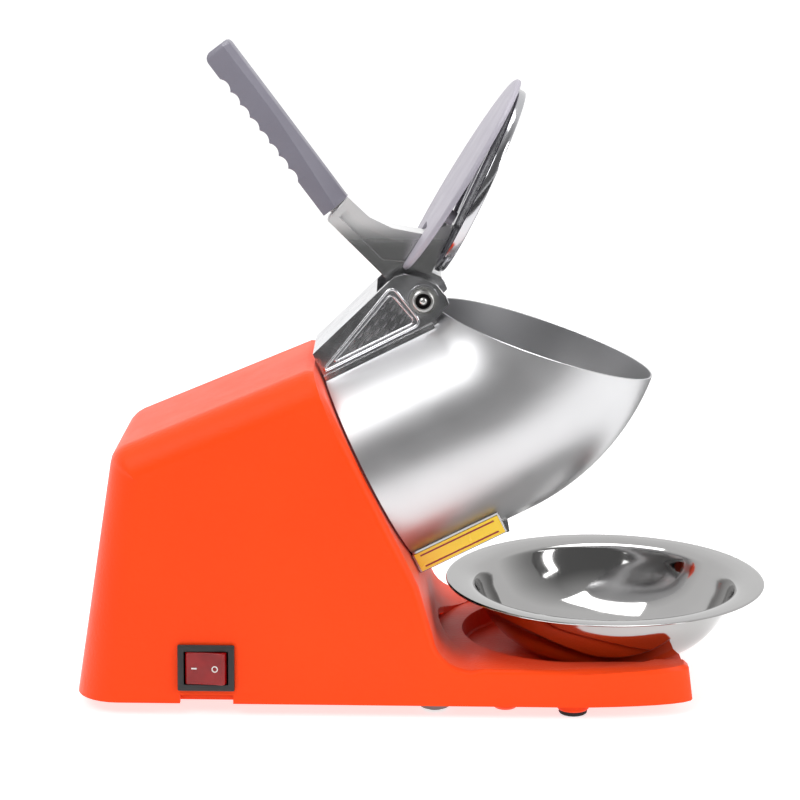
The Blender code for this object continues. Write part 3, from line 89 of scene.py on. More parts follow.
# ---- dimensions of the smooth surfaces ----------------------------------
HOPPER_WALL = 1.0 * MM
HOPPER_REAR = 1.5 * MM          # from the body's face to the back of the hopper's floor
HOPPER_FLOOR_BORE = 49 * MM
HOPPER_SIDES = 160
TUBE_STEPS = 6
HOPPER_BEND_STEPS = 28
MOUTH_TILT = radians(18.1)
MOUTH_DROP = 4 * MM
MOUTH_ROUND = 0.35 * MM
# opposite corners of the boxes cut from the hopper, in the drive's own frame
CROWN_NOTCH = ((-80 * MM, -19 * MM, 61 * MM), (-50 * MM, 19 * MM, 100 * MM))
CHUTE_OPENING = ((40 * MM, -37 * MM, 5 * MM), (80 * MM, 37 * MM, 50 * MM))

BOWL_WALL = 0.9 * MM
BOWL_SIDES = 160
DISC_SIDES = 128
DRILL_SIDES = 40

PRESS_ANGLE = radians(65)
PRESS_CENTRE = 69.2 * MM
PRESS_SCREW_AT = 26 * MM        # from the lever's pivot
PRESS_SCREW_Y = 5 * MM
COVER_ANGLE = radians(58.5)
COVER_CENTRE = 66.5 * MM
COVER_BEHIND = 16.5 * MM
COVER_T = 3.0 * MM
COVER_POSTS = ((46 * MM, -26 * MM), (46 * MM, 26 * MM), (92 * MM, 0.0))
COVER_POST_R = 4 * MM
POST_REACH = 11.5 * MM          # from the cover to the plate, at the lever's pivot
ARM_HALF = 10 * MM
ARM_ROOM = 1.2 * MM

CHEEK_INSET = 2.6 * MM          # the cheek's face, in from the bracket's widest edge
BOSS_INSET = 1.8 * MM           # the boss round the pivot, in from the same edge
BEAD_OUTER = ((1.0, 11.3), (57.2, -14.6), (62.6, 11.3))     # millimetres on the bracket's cheek
BEAD_INNER = ((9.0, 9.3), (54.8, -11.0), (60.0, 9.3))
INNER_BEND = 3.6
# corners, corner radius, how deep the bead lies, bead radius, all in millimetres
BEADS = ((BEAD_OUTER, 5.0, 0.0, 0.8), (BEAD_INNER, INNER_BEND, 0.75, 0.62))
PANEL_DEPTH = 1.3 * MM
PANEL_T = 0.5
RIPPLE_GRID = 0.4
RIPPLE_FADE = 12                # millimetres over which the ripples rise from the bracket's foot
PIN_R = 2.35 * MM
SOCKET_R = 4.12 * MM

GRIP_LOW = Vector((-54.4 * MM, 43.2 * MM))
GRIP_DIR = Vector((-66, 88.2)).normalized()
GRIP_SIDE = Vector((GRIP_DIR.y, -GRIP_DIR.x))
GRIP_LENGTH = 108 * MM
GRIP_DEPTH = 16.4 * MM
GRIP_HALF = 12 * MM
GRIP_STEPS = 190
SCALLOP_START = 24 * MM
SCALLOP_PITCH = 8.6 * MM
SCALLOP_DEPTH = 1.9 * MM
SCALLOPS = 8
TIP_REAR = 5 * MM
TIP_FRONT = 3 * MM
TIP_SIDES = 3.5 * MM
TANG_HALF = 6.3 * MM
TANG_LENGTH = 42.3 * MM
TANG_EDGES = (3.9 * MM, 12.7 * MM)
GRIP_SCREW_AT = (24 * MM, 8.3 * MM)

ROCKER_PRESSED = radians(7)
MARK_TOP = 3.9 * MM
MARK_SUNK = 0.6 * MM
LABEL_BARS = (52.3 * MM, 58.8 * MM)     # lower edges, below the drive's axis
LABEL_BAR_WIDTH = 0.9 * MM
LABEL_BAR_ENDS = (5 * MM, 50 * MM)

EDGE_ANGLE = 35         # degrees between faces that count as an edge to round
FLAT_WITHIN = 0.3       # degrees between facets that count as one flat face
SLIVER = 0.05 * MM      # faces thinner than this are dissolved
# node, width of its rounded edges in millimetres, segments
SOFT_EDGES = (("body_shell", 0.5, 2), ("base_plate", 0.4, 2), ("lever_arm", 0.7, 3),
              ("pivot_bracket", 0.5, 2), ("outlet_chute", 0.35, 2), ("switch_housing", 0.25, 2),
              ("rocker", 0.3, 2), ("pivot_nut", 0.3, 2), ("chute_label", 0.05, 1))

# ---- finishes, and painted shade, that change along a part --------------
HUB_POLISH_AND_SHADE_TO = 26 * MM         # above the pivot
ARM_SATIN_FROM = 42 * MM

# ---- studio -------------------------------------------------------------
FLOOR_HALF = 60
FLOOR_BELOW = 0.0004
FLOOR_GLOW = 0.70
FRONT_LEVEL = 0.16              # world strength on the camera's side
TOP_LEVEL = 0.58                # world strength overhead
# name, place, point it faces, size, watts
LIGHTS = (("key_light", (-0.75, -0.75, 1.10), (0.0, 0, 0.12), (1.1, 0.6), 8.3),
          ("top_light", (0.1, 0.15, 1.5), (0.0, 0, 0.1), (1.2, 0.6), 12),
          ("side_light", (1.25, -0.75, 0.7), (0.05, 0, 0.12), (0.4, 0.7), 8))
# name, place, point it faces, size
CARDS = (("card_low", (0.0, -2.0, 0.002), (0.0, -2.0, 1.0), (6.0, 3.0)),
         ("card_behind", (0.10, 0.50, 0.003), (0.10, 0.50, 1.0), (1.1, 0.55)),
         ("card_right", (1.0, -0.45, 0.35), (0.1, 0, 0.15), (0.22, 0.8)))
CAMERA_AT = Vector((-0.0146, -1.2218, 0.4235))
CAMERA_TARGET = Vector((-0.0146, 0, 0.1593))
FOCAL_LENGTH = 100.1
SENSOR_WIDTH = 36


# ---- material nodes -----------------------------------------------------
class Finish:
    """A procedural material in the making: texture nodes feed one Principled shader."""

    def __init__(self, name, **sockets):
        self.mat = bpy.data.materials.new(name)
        self.mat.use_nodes = True
        self.tree = self.mat.node_tree
        self.shader = self.tree.nodes["Principled BSDF"]
        for socket, value in sockets.items():
            self.shader.inputs[socket.replace("_", " ")].default_value = value
        self.coord = self.tree.nodes.new("ShaderNodeTexCoord").outputs["Object"]

    def link(self, output, target):
        self.tree.links.new(output, target)

    def mapped(self, scale=(1, 1, 1), location=(0, 0, 0), rotation=(0, 0, 0)):
        node = self.tree.nodes.new("ShaderNodeMapping")
        node.vector_type = "TEXTURE"
        node.inputs["Location"].default_value = location
        node.inputs["Rotation"].default_value = rotation
        node.inputs["Scale"].default_value = [1 / value for value in scale]
        self.link(self.coord, node.inputs["Vector"])
        return node.outputs["Vector"]

    def noise(self, scale, detail=3, vector=None, rough=0.55):
        node = self.tree.nodes.new("ShaderNodeTexNoise")
        node.inputs["Scale"].default_value = scale
        node.inputs["Detail"].default_value = detail
        node.inputs["Roughness"].default_value = rough
        self.link(vector or self.coord, node.inputs["Vector"])
        return node.outputs["Fac"]

    def ramp(self, fac, low, high):
        node = self.tree.nodes.new("ShaderNodeValToRGB")
        for element, place, color in zip(node.color_ramp.elements, (0.35, 0.65), (low, high)):
            element.position = place
            element.color = (*color, 1)
        self.link(fac, node.inputs["Fac"])
        return node.outputs["Color"]

    def spread(self, fac, low, high):
        node = self.tree.nodes.new("ShaderNodeMapRange")
        node.inputs["From Min"].default_value = 0.3
        node.inputs["From Max"].default_value = 0.7
        node.inputs["To Min"].default_value = low
        node.inputs["To Max"].default_value = high
        self.link(fac, node.inputs["Value"])
        return node.outputs["Result"]

    def colour(self, fac, low, high):
        self.link(self.ramp(fac, low, high), self.shader.inputs["Base Color"])

    def roughness(self, fac, low, high):
        self.link(self.spread(fac, low, high), self.shader.inputs["Roughness"])

    def bump(self, height, distance, strength=1.0):
        node = self.tree.nodes.new("ShaderNodeBump")
        node.inputs["Strength"].default_value = strength
        node.inputs["Distance"].default_value = distance
        before = self.shader.inputs["Normal"].links
        if before:
            self.link(before[0].from_socket, node.inputs["Normal"])
        self.link(height, node.inputs["Height"])
        self.link(node.outputs["Normal"], self.shader.inputs["Normal"])


def shade(color, factor):
    return tuple(min(1.0, value * factor) for value in color)


def plastic(name, color, rough, grain, height, coat=0.0, vary=0.06):
    """Moulded plastic: fine grain, slow drift in colour and gloss."""
    spread = 0.06
    f = Finish(name, IOR=1.5, Coat_Weight=coat, Coat_Roughness=0.18)
    f.colour(f.noise(9, 4), shade(color, 1 - vary), shade(color, 1 + vary))
    f.roughness(f.noise(60, 3), rough - spread, rough + spread)
    f.bump(f.noise(grain, 2, rough=0.6), height)
    return f.mat


def metal(name, color, rough, spread, vary=0.04, grain=0, height=0.0, stretch=None,
          rotation=(0, 0, 0), location=(0, 0, 0)):
    """Metal: a fine grain, drawn out into brushing lines where stretch is given."""
    f = Finish(name, Metallic=1.0)
    where = f.mapped(stretch or (1, 1, 1), location, rotation)
    f.colour(f.noise(14, 4), shade(color, 1 - vary), shade(color, 1 + vary))
    f.roughness(f.noise(70, 3), rough - spread, rough + spread)
    if grain:
        f.bump(f.noise(grain, 3, where), height)
    return f.mat


def orange_body():
    f = Finish("orange_body", IOR=1.28, Sheen_Weight=0.22, Sheen_Roughness=0.35)
    f.colour(f.noise(5, 3), (0.96, 0.058, 0.0025), (0.99, 0.067, 0.0033))
    f.roughness(f.noise(45, 3), 0.40, 0.50)
    f.bump(f.noise(520, 2, rough=0.5), 0.00022, 0.75)
    f.bump(f.noise(1500, 2), 0.00010, 0.5)
    return f.mat


def red_rocker():
    f = Finish("red_rocker_gloss", IOR=1.45, Transmission_Weight=0.10)
    f.colour(f.noise(90, 2), (0.22, 0.001, 0.002), (0.30, 0.003, 0.004))
    f.roughness(f.noise(120, 2), 0.10, 0.18)
    f.bump(f.noise(800, 2), 0.00004, 0.4)
    return f.mat


def spun_steel():
    """Satin sheet, with faint polishing lines round the drive axis."""
    return metal("spun_steel", (0.60, 0.60, 0.61), 0.38, 0.02, 0.015, 1.0, 0.000003,
                 (0.5, 0.5, 1600), (0, pi / 2 - DRIVE_TILT, 0), (3.3, 3.3, 0))


def cast_arm():
    """Cast arm: machined smooth at its hub, satin from there to the grip; its colour darkens towards the hub as
    painted shade for the dark reflections there.
    """
    f = Finish("cast_arm", Metallic=1.0)
    split = f.tree.nodes.new("ShaderNodeSeparateXYZ")
    f.link(f.coord, split.inputs["Vector"])
    # Roughness goes from polished to satin; the base colour darkens towards the hub, painted shade for dark
    # reflections.
    for socket, hub, satin in (("Roughness", 0.20, 0.55), ("Base Color", 0.58, 0.94)):
        reach = f.tree.nodes.new("ShaderNodeMapRange")
        reach.interpolation_type = "SMOOTHSTEP"
        reach.inputs["From Min"].default_value = PIVOT.z + HUB_POLISH_AND_SHADE_TO
        reach.inputs["From Max"].default_value = PIVOT.z + ARM_SATIN_FROM
        reach.inputs["To Min"].default_value = hub
        reach.inputs["To Max"].default_value = satin
        f.link(split.outputs["Z"], reach.inputs["Value"])
        f.link(reach.outputs["Result"], f.shader.inputs[socket])
    f.bump(f.noise(520, 3), 0.00003)
    return f.mat


def mirror_bowl():
    """Polished sheet with very fine turning rings round the bowl's axis."""
    f = Finish("mirror_bowl", Metallic=1.0)
    f.colour(f.noise(12, 3), (0.39, 0.386, 0.382), (0.43, 0.426, 0.422))
    f.roughness(f.noise(30, 4), 0.05, 0.12)
    centre = middle("bowl")
    place = f.mapped(location=(centre.x, centre.y, 0))
    split = f.tree.nodes.new("ShaderNodeSeparateXYZ")
    f.link(place, split.inputs["Vector"])
    flat = f.tree.nodes.new("ShaderNodeCombineXYZ")
    f.link(split.outputs["X"], flat.inputs["X"])
    f.link(split.outputs["Y"], flat.inputs["Y"])
    length = f.tree.nodes.new("ShaderNodeVectorMath")
    length.operation = "LENGTH"
    f.link(flat.outputs["Vector"], length.inputs[0])
    ring = f.tree.nodes.new("ShaderNodeCombineXYZ")
    f.link(length.outputs["Value"], ring.inputs["X"])
    f.bump(f.noise(900, 2, ring.outputs["Vector"]), 0.00001, 0.35)
    return f.mat


def build_materials():
    return {
        "orange_abs": orange_body(),
        "black_plastic": plastic("black_moulding", (0.016, 0.016, 0.017), 0.36, 1100, 0.00006),
        "grey_plastic": plastic("grey_moulding", (0.335, 0.315, 0.365), 0.42, 900, 0.00008),
        "grip_grey": plastic("grip_grey", (0.178, 0.170, 0.208), 0.42, 900, 0.00008),
        "red_plastic": red_rocker(),
        "black_rubber": plastic("black_rubber", (0.014, 0.014, 0.014), 0.78, 500, 0.00015, vary=0.15),
        "grey_rubber": plastic("grey_rubber", (0.19, 0.185, 0.185), 0.68, 500, 0.00015, vary=0.12),
        "stainless": spun_steel(),
        "mirror_steel": mirror_bowl(),
        "cast_aluminium": metal("cast_aluminium", (0.74, 0.74, 0.76), 0.19, 0.06, 0.06, 420, 0.00004),
        "blade_steel": metal("blade_steel", (0.66, 0.66, 0.66), 0.22, 0.05, 0.04, 1.0, 0.00002,
                             (900, 40, 40)),
        "motor_steel": metal("motor_steel", (0.26, 0.26, 0.28), 0.45, 0.06, 0.1, 1.0, 0.00008,
                             (40, 40, 1500), (0, pi / 2 - DRIVE_TILT, 0)),
        "zinc_steel": metal("zinc_steel", (0.64, 0.64, 0.62), 0.24, 0.07, 0.08, 900, 0.00003),
        "cast_arm": cast_arm(),
        "press_plate": metal("press_plate", (0.52, 0.52, 0.54), 0.14, 0.05, 0.08, 420, 0.00003),
        # dark red for the hopper gasket: painted shade of the seam round the hopper
        "seam_shade_rubber": plastic("seam_shade_rubber", (0.16, 0.008, 0.005), 0.6, 500, 0.00010, vary=0.12),
        # darker cast metal for the bracket panels: painted shade for dark reflections in the recess
        "cast_painted_shade": metal("cast_painted_shade", (0.36, 0.35, 0.37), 0.30, 0.06, 0.12, 520, 0.00006),
        # near-black steel for the pivot bolt's socket: painted shade in the recess
        "painted_socket_shade": metal("painted_socket_shade", (0.035, 0.033, 0.032), 0.34, 0.05, 0.2, 900, 0.00003),
        "yellow_film": plastic("yellow_film", (0.92, 0.62, 0.012), 0.26, 700, 0.00002, 0.3),
    }


# ---- mesh helpers -------------------------------------------------------
def new_object(name, mesh, mat, body, slot, *replaced):
    obj = bpy.data.objects.new(name, mesh)
    bpy.context.scene.collection.objects.link(obj)
    mesh.materials.clear()
    mesh.materials.append(mat)
    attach(obj, body)
    if replaced:
        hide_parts(*replaced)
    return obj


def shaded(mesh, angle):
    mesh.shade_smooth()
    mesh.set_sharp_from_angle(angle=radians(angle))
    return mesh


def rings_mesh(name, rings, closed, angle=35, matrix=None):
    """Skin over rings of points. One-point rings are poles, and open rows end in caps."""
    bm = bmesh.new()
    rows = [[bm.verts.new(point) for point in ring] for ring in rings]
    pairs = list(zip(rows, rows[1:]))
    if closed:
        pairs.append((rows[-1], rows[0]))
    for a, b in pairs:
        count = max(len(a), len(b))
        for i in range(count):
            j = (i + 1) % count
            if len(a) == 1:
                bm.faces.new((a[0], b[j], b[i]))
            elif len(b) == 1:
                bm.faces.new((a[i], a[j], b[0]))
            else:
                bm.faces.new((a[i], a[j], b[j], b[i]))
    if not closed:
        for row in (rows[0], rows[-1]):
            if len(row) > 2:
                bm.faces.new(row)
    bmesh.ops.recalc_face_normals(bm, faces=bm.faces)
    if bm.calc_volume(signed=True) < 0:
        bmesh.ops.reverse_faces(bm, faces=bm.faces)
    mesh = bpy.data.meshes.new(name)
    bm.to_mesh(mesh)
    bm.free()
    if matrix:
        mesh.transform(matrix)
    return shaded(mesh, angle)


def turned_mesh(name, profile, segments, closed=False, angle=35, matrix=None):
    turns = [2 * pi * i / segments for i in range(segments)]
    rings = [[(0, 0, z)] if r < 1e-7 else [(r * cos(t), r * sin(t), z) for t in turns]
             for r, z in profile]
    return rings_mesh(name, rings, closed, angle, matrix)


def prism_mesh(name, outline, low, high, matrix=None, along="Y"):
    """Extruded outline: (x, z) pairs along Y, or (x, y) pairs along Z."""
    def point(p, h):
        return (p[0], h, p[1]) if along == "Y" else (p[0], p[1], h)
    rings = [[point(p, low) for p in outline], [point(p, high) for p in outline]]
    return rings_mesh(name, rings, False, 30, matrix)


def smooth_path(points, steps=6):
    """Points of a soft curve through the given ones (Catmull-Rom), ends included."""
    out = []
    last = len(points) - 1
    for i in range(last):
        p0, p1 = points[max(i - 1, 0)], points[i]
        p2, p3 = points[i + 1], points[min(i + 2, last)]
        for k in range(steps):
            t = k / steps
            out.append(tuple(
                0.5 * (2 * b + (c - a) * t + (2 * a - 5 * b + 4 * c - d) * t * t
                       + (3 * b - a - 3 * c + d) * t ** 3)
                for a, b, c, d in zip(p0, p1, p2, p3)))
    return out + [points[-1]]


def cut(obj, *tools, operation="DIFFERENCE"):
    """Boolean cuts, applied, with the cutters removed afterwards."""
    for mesh in tools:
        tool = bpy.data.objects.new("cutter", mesh)
        bpy.context.scene.collection.objects.link(tool)
        mod = obj.modifiers.new("cut", "BOOLEAN")
        mod.operation = operation
        mod.solver = "EXACT"
        mod.object = tool
        apply_modifiers(obj)
        bpy.data.objects.remove(tool)


def apply_modifiers(obj):
    graph = bpy.context.evaluated_depsgraph_get()
    graph.update()
    mesh = bpy.data.meshes.new_from_object(obj.evaluated_get(graph))
    obj.modifiers.clear()
    obj.data = mesh


def rounded(obj, width, segments):
    mod = obj.modifiers.new("edge_round", "BEVEL")
    mod.width = width
    mod.segments = segments
    mod.limit_method = "ANGLE"
    mod.angle_limit = radians(EDGE_ANGLE)
    normals = obj.modifiers.new("even_normals", "WEIGHTED_NORMAL")
    normals.keep_sharp = True
    normals.weight = 100


def soften(node, width, mats, segments):
    """A CAD node's own shape with its flat facets joined and its edges rounded."""
    bm = bmesh.new()
    bm.from_mesh(NODES[node].data)
    bmesh.ops.remove_doubles(bm, verts=bm.verts, dist=0.000002)
    bmesh.ops.dissolve_degenerate(bm, edges=bm.edges, dist=SLIVER)
    bmesh.ops.dissolve_limit(bm, angle_limit=radians(FLAT_WITHIN), verts=bm.verts, edges=bm.edges)
    mesh = bpy.data.meshes.new(node + "_soft")
    bm.to_mesh(mesh)
    bm.free()
    slot = SLOT_OF[node]
    obj = new_object(node + "_soft", shaded(mesh, EDGE_ANGLE), mats[slot], BODY_OF[node], slot, node)
    rounded(obj, width, segments)
    return obj


# ---- pieces -------------------------------------------------------------
def hopper_ring(radius, z, turns):
    return [(radius * cos(t), radius * sin(t), z) for t in turns]


def hopper_skin(radius, rear_z, turns, push=0.0):
    """Rings from the body's face to the mouth: a straight tube, then a bend about the pivot."""
    rings = [hopper_ring(radius, rear_z + (PIVOT_TO_FACE - rear_z) * k / TUBE_STEPS, turns)
             for k in range(TUBE_STEPS + 1)]
    sweep = pi / 2 - DRIVE_TILT - MOUTH_TILT
    for k in range(1, HOPPER_BEND_STEPS + 1):
        ring = []
        for t in turns:
            arm = PIVOT_TO_TUBE_AXIS + radius * cos(t)
            end = sweep - asin(min(1.0, (MOUTH_DROP - push) / arm))
            turn = end * k / HOPPER_BEND_STEPS
            ring.append((arm * cos(turn) - PIVOT_TO_TUBE_AXIS, radius * sin(t),
                         PIVOT_TO_FACE + arm * sin(turn)))
        rings.append(ring)
    return rings


def hopper(mats):
    """Sheet tube with a floor ring, a rounded mouth edge, a crown notch and the way to the chute."""
    turns = [2 * pi * i / HOPPER_SIDES for i in range(HOPPER_SIDES)]
    front = HOPPER_REAR + HOPPER_WALL
    outer = hopper_skin(HOPPER_R, HOPPER_REAR, turns)
    inner = hopper_skin(HOPPER_R - HOPPER_WALL, front, turns)
    edge = hopper_skin(HOPPER_R - HOPPER_WALL / 2, front, turns, MOUTH_ROUND)[-1]
    floor = [hopper_ring(HOPPER_FLOOR_BORE, z, turns) for z in (HOPPER_REAR, front)]
    rings = [edge] + list(reversed(outer)) + floor + inner
    mesh = rings_mesh("hopper_sheet", rings, True, 40, DRIVE)
    obj = new_object("hopper_sheet", mesh, mats["stainless"], "root", "stainless", "hopper")
    cut(obj, box_mesh(*CROWN_NOTCH, DRIVE), box_mesh(*CHUTE_OPENING, DRIVE))
    shaded(obj.data, 40)


def box_mesh(low, high, matrix=None):
    outline = [(low[0], low[1]), (high[0], low[1]), (high[0], high[1]), (low[0], high[1])]
    return prism_mesh("box", outline, low[2], high[2], matrix, "Z")


def bowl(mats):
    """Sheet bowl with a wide flat flange and a foot ring."""
    rise = BOWL_RIM - BOWL_LOW
    outer = [(0, 0.8), (29, 0.8), (31.5, 0.5), (33, 0), (37, 0), (40.5, 0.8), (47, 3.4), (56, 8.9),
             (64, 16.8), (70.2, 26.6), (74.0, 35.4), (75.6, rise / MM - 3.3), (78.6, rise / MM - 1.9),
             (84, rise / MM - 1.1), (89.2, rise / MM - 1.0)]
    outer = smooth_path([(r * MM, BOWL_LOW + z * MM) for r, z in outer], 4)
    inner = []
    for i, (r, z) in enumerate(outer):
        r0, z0 = outer[max(i - 1, 0)]
        r1, z1 = outer[min(i + 1, len(outer) - 1)]
        dr, dz = r1 - r0, z1 - z0
        size = sqrt(dr * dr + dz * dz)
        inner.append((max(0.0, r - BOWL_WALL * dz / size), z + BOWL_WALL * dr / size))
    roll = [(BOWL_R - 0.2 * MM, BOWL_RIM - 0.9 * MM), (BOWL_R, BOWL_RIM - 0.6 * MM),
            (BOWL_R - 0.2 * MM, BOWL_RIM - 0.25 * MM)]
    profile = outer + roll + list(reversed(inner))
    place = Matrix.Translation((middle("bowl").x, 0, 0))
    mesh = turned_mesh("bowl_sheet", profile, BOWL_SIDES, False, 60, place)
    new_object("bowl_sheet", mesh, mats["mirror_steel"], "bowl", "mirror_steel", "bowl")


def lever_disc(angle, along, behind):
    """Matrix of a disc on the lever: local Z faces ahead, local X points back to the pivot."""
    u = Vector((cos(angle), 0, sin(angle)))
    n = Vector((sin(angle), 0, -cos(angle)))
    return Matrix.Translation(PIVOT + u * along - n * behind) @ Matrix.Rotation(pi - angle, 4, "Y")


def presser(mats):
    """Dished pressing plate with a screw pad, a rib and two sunk screw holes."""
    plate = lever_disc(PRESS_ANGLE, PRESS_CENTRE, 0)
    r = PRESS_R / MM
    profile = [(0, 1.8), (r - 4.4, 1.8), (r - 3.6, 1.3), (r - 3.3, 0.2), (r - 2.7, -0.4),
               (r - 1.1, -0.4), (r - 0.3, 0), (r, 0.8), (r, 3.2), (r - 0.4, 4.2), (r - 1.4, 4.6),
               (0, 4.6)]
    profile = [(a * MM, b * MM) for a, b in profile]
    mesh = turned_mesh("presser_face", profile, DISC_SIDES, False, 40, plate)
    disc = new_object("presser_face", mesh, mats["press_plate"], "lever", "cast_aluminium", "presser_plate")
    rear, front = -0.4 * MM, 2.6 * MM
    pad = box_mesh((28 * MM, -12 * MM, rear), (PRESS_R - 0.8 * MM, 12 * MM, front), plate)
    rib = box_mesh((-PRESS_R + 2 * MM, -2 * MM, rear), (32 * MM, 2 * MM, front), plate)
    cut(disc, pad, operation="UNION")
    cut(disc, rib, operation="UNION")
    for sign in (-1, 1):
        at = plate @ Matrix.Translation((PRESS_CENTRE - PRESS_SCREW_AT, sign * PRESS_SCREW_Y, 0))
        cut(disc, drill(3.3 * MM, 2.4 * MM, 9 * MM, at), drill(1.8 * MM, -6 * MM, 9 * MM, at, 32))
    shaded(disc.data, 40)
    presser_cover(mats)


def drill(radius, low, high, matrix, sides=DRILL_SIDES):
    """Round cutter, or a post, along local Z."""
    profile = [(0, low), (radius, low), (radius, high), (0, high)]
    return turned_mesh("drill", profile, sides, matrix=matrix)


def presser_cover(mats):
    """Plastic disc behind the plate: raised rim, a slot for the arm, three posts to the plate."""
    place = lever_disc(COVER_ANGLE, COVER_CENTRE, COVER_BEHIND)
    r = COVER_R / MM
    t = COVER_T / MM / 2
    profile = [(0, -t), (r - 2.6, -t), (r - 1.2, -t + 0.2), (r - 0.3, -t + 0.8), (r, -t + 1.5),
               (r, t - 0.4), (r - 0.5, t), (r - 2.0, t), (r - 2.6, t - 0.6), (0, t - 0.6)]
    profile = [(a * MM, b * MM) for a, b in profile]
    mesh = turned_mesh("presser_hood", profile, DISC_SIDES, False, 40, place)
    cover = new_object("presser_hood", mesh, mats["grey_plastic"], "lever", "grey_plastic", "presser_cover")
    side = ARM_HALF + ARM_ROOM
    cut(cover, box_mesh((33 * MM, -side, -10 * MM), (70 * MM, side, 10 * MM), place))
    for along, y in COVER_POSTS:
        at = place @ Matrix.Translation((COVER_CENTRE - along, y, 0))
        top = COVER_T / 2 + POST_REACH - along * sin(PRESS_ANGLE - COVER_ANGLE)
        cut(cover, drill(COVER_POST_R, 0, top, at), operation="UNION")
    shaded(cover.data, 40)


def tip_round(s, reach):
    """0 along the grip, growing to 1 on a quarter circle over the last reach of its length."""
    over = max(0.0, s - (GRIP_LENGTH - reach)) / reach
    return 1 - sqrt(max(0.0, 1 - over * over))


def grip_rear(s):
    """Rear edge of the grip: finger scallops, then a rounded tip."""
    edge = 0.4 * MM
    if SCALLOP_START < s < SCALLOP_START + SCALLOPS * SCALLOP_PITCH:
        edge += SCALLOP_DEPTH * sin(pi * ((s - SCALLOP_START) / SCALLOP_PITCH % 1)) ** 0.7
    return edge + 4.6 * MM * tip_round(s, TIP_REAR)


def grip_section(s):
    """Outline across the grip: facets cut its front edges and widen towards the arm."""
    rear = grip_rear(s)
    front = GRIP_DEPTH - 2.6 * MM * tip_round(s, TIP_FRONT)
    half = GRIP_HALF - 2.4 * MM * tip_round(s, TIP_SIDES)
    flare = max(0.0, 1 - s / (0.62 * GRIP_LENGTH)) ** 1.3
    facet = (4.0 + 4.6 * flare) * MM
    inset = (3.4 + 3.0 * flare) * MM
    soft = 0.8 * MM
    near = [(rear, half - soft), (rear + soft * 0.3, half - soft * 0.3), (rear + soft, half),
            (front - facet - 0.3 * MM, half), (front - facet + 0.3 * MM, half - 0.15 * MM),
            (front - 0.9 * MM, half - inset + 0.25 * MM), (front - 0.25 * MM, half - inset - 0.35 * MM),
            (front, half - inset - 1.2 * MM)]
    return [(t, -y) for t, y in near] + [(t, y) for t, y in reversed(near)]


def grip_point(along, across, y=0.0):
    p = GRIP_LOW + GRIP_DIR * along + GRIP_SIDE * across
    return Vector((PIVOT.x + p.x, y, PIVOT.z + p.y))


def grip(mats):
    """Moulded grip over the arm's tang, with its screw hole."""
    sections = []
    for k in range(GRIP_STEPS + 1):
        s = 0.4 * MM + (GRIP_LENGTH - 0.5 * MM) * k / GRIP_STEPS
        sections.append([grip_point(s, t, y) for t, y in grip_section(s)])
    piece = new_object("grip_moulding", rings_mesh("grip_moulding", sections, False, 24),
                       mats["grip_grey"], "lever", "grey_plastic", "lever_grip")
    start, end = -5 * MM, TANG_LENGTH
    low, high = TANG_EDGES
    corners = [grip_point(*p) for p in ((start, low), (end, low), (end, high), (start, high))]
    cut(piece, prism_mesh("socket", [(p.x, p.z) for p in corners], -TANG_HALF, TANG_HALF))
    place = Matrix.Translation(grip_point(*GRIP_SCREW_AT)) @ Matrix.Rotation(-pi / 2, 4, "X")
    cut(piece, drill(2.1 * MM, -9 * MM, 20 * MM, place))
    cut(piece, drill(3.7 * MM, GRIP_HALF - 2.6 * MM, 20 * MM, place))
    shaded(piece.data, 24)


def drive_point(z, perp, y):
    """Point on the bracket: z ahead of the body's face, perp below the lever axis."""
    return DRIVE @ Vector((perp - PIVOT_TO_TUBE_AXIS, y, z))


def rounded_outline(points, radius, steps=6):
    """Closed outline with its corners replaced by arcs."""
    out = []
    count = len(points)
    for i in range(count):
        p = Vector(points[i])
        a = (Vector(points[i - 1]) - p).normalized()
        b = (Vector(points[(i + 1) % count]) - p).normalized()
        start, end = p + a * radius, p + b * radius
        for k in range(steps + 1):
            f = k / steps
            out.append((1 - f) ** 2 * start + 2 * f * (1 - f) * p + f * f * end)
    return out


def tube_along(name, points, radius, mat, body):
    """Closed bead along points."""
    data = bpy.data.curves.new(name, "CURVE")
    data.dimensions = "3D"
    data.bevel_depth = radius
    data.bevel_resolution = 3
    spline = data.splines.new("POLY")
    spline.points.add(len(points) - 1)
    for target, p in zip(spline.points, points):
        target.co = (*p, 1)
    spline.use_cyclic_u = True
    data.materials.append(mat)
    obj = bpy.data.objects.new(name, data)
    bpy.context.scene.collection.objects.link(obj)
    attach(obj, body)
    return obj


def bracket_trim(mats):
    """Two beads round the triangular recess of each cheek, and the rippled panel inside, in darker metal that is
    painted shade for the dark reflections on the cheek.
    """
    cheek = extent("pivot_bracket").y / 2 - CHEEK_INSET
    for sign, side in ((-1, "near"), (1, "far")):
        for i, (corners, bend, sunk, radius) in enumerate(BEADS):
            path = rounded_outline(corners, bend, 8)
            points = [drive_point(p.x * MM, p.y * MM, sign * (cheek - sunk * MM)) for p in path]
            tube_along(f"bracket_bead_{side}_{i + 1}", points, radius * MM, mats["cast_aluminium"],
                       "root")
        rippled_panel(f"bracket_panel_{side}", sign, sign * (cheek - PANEL_DEPTH), mats)


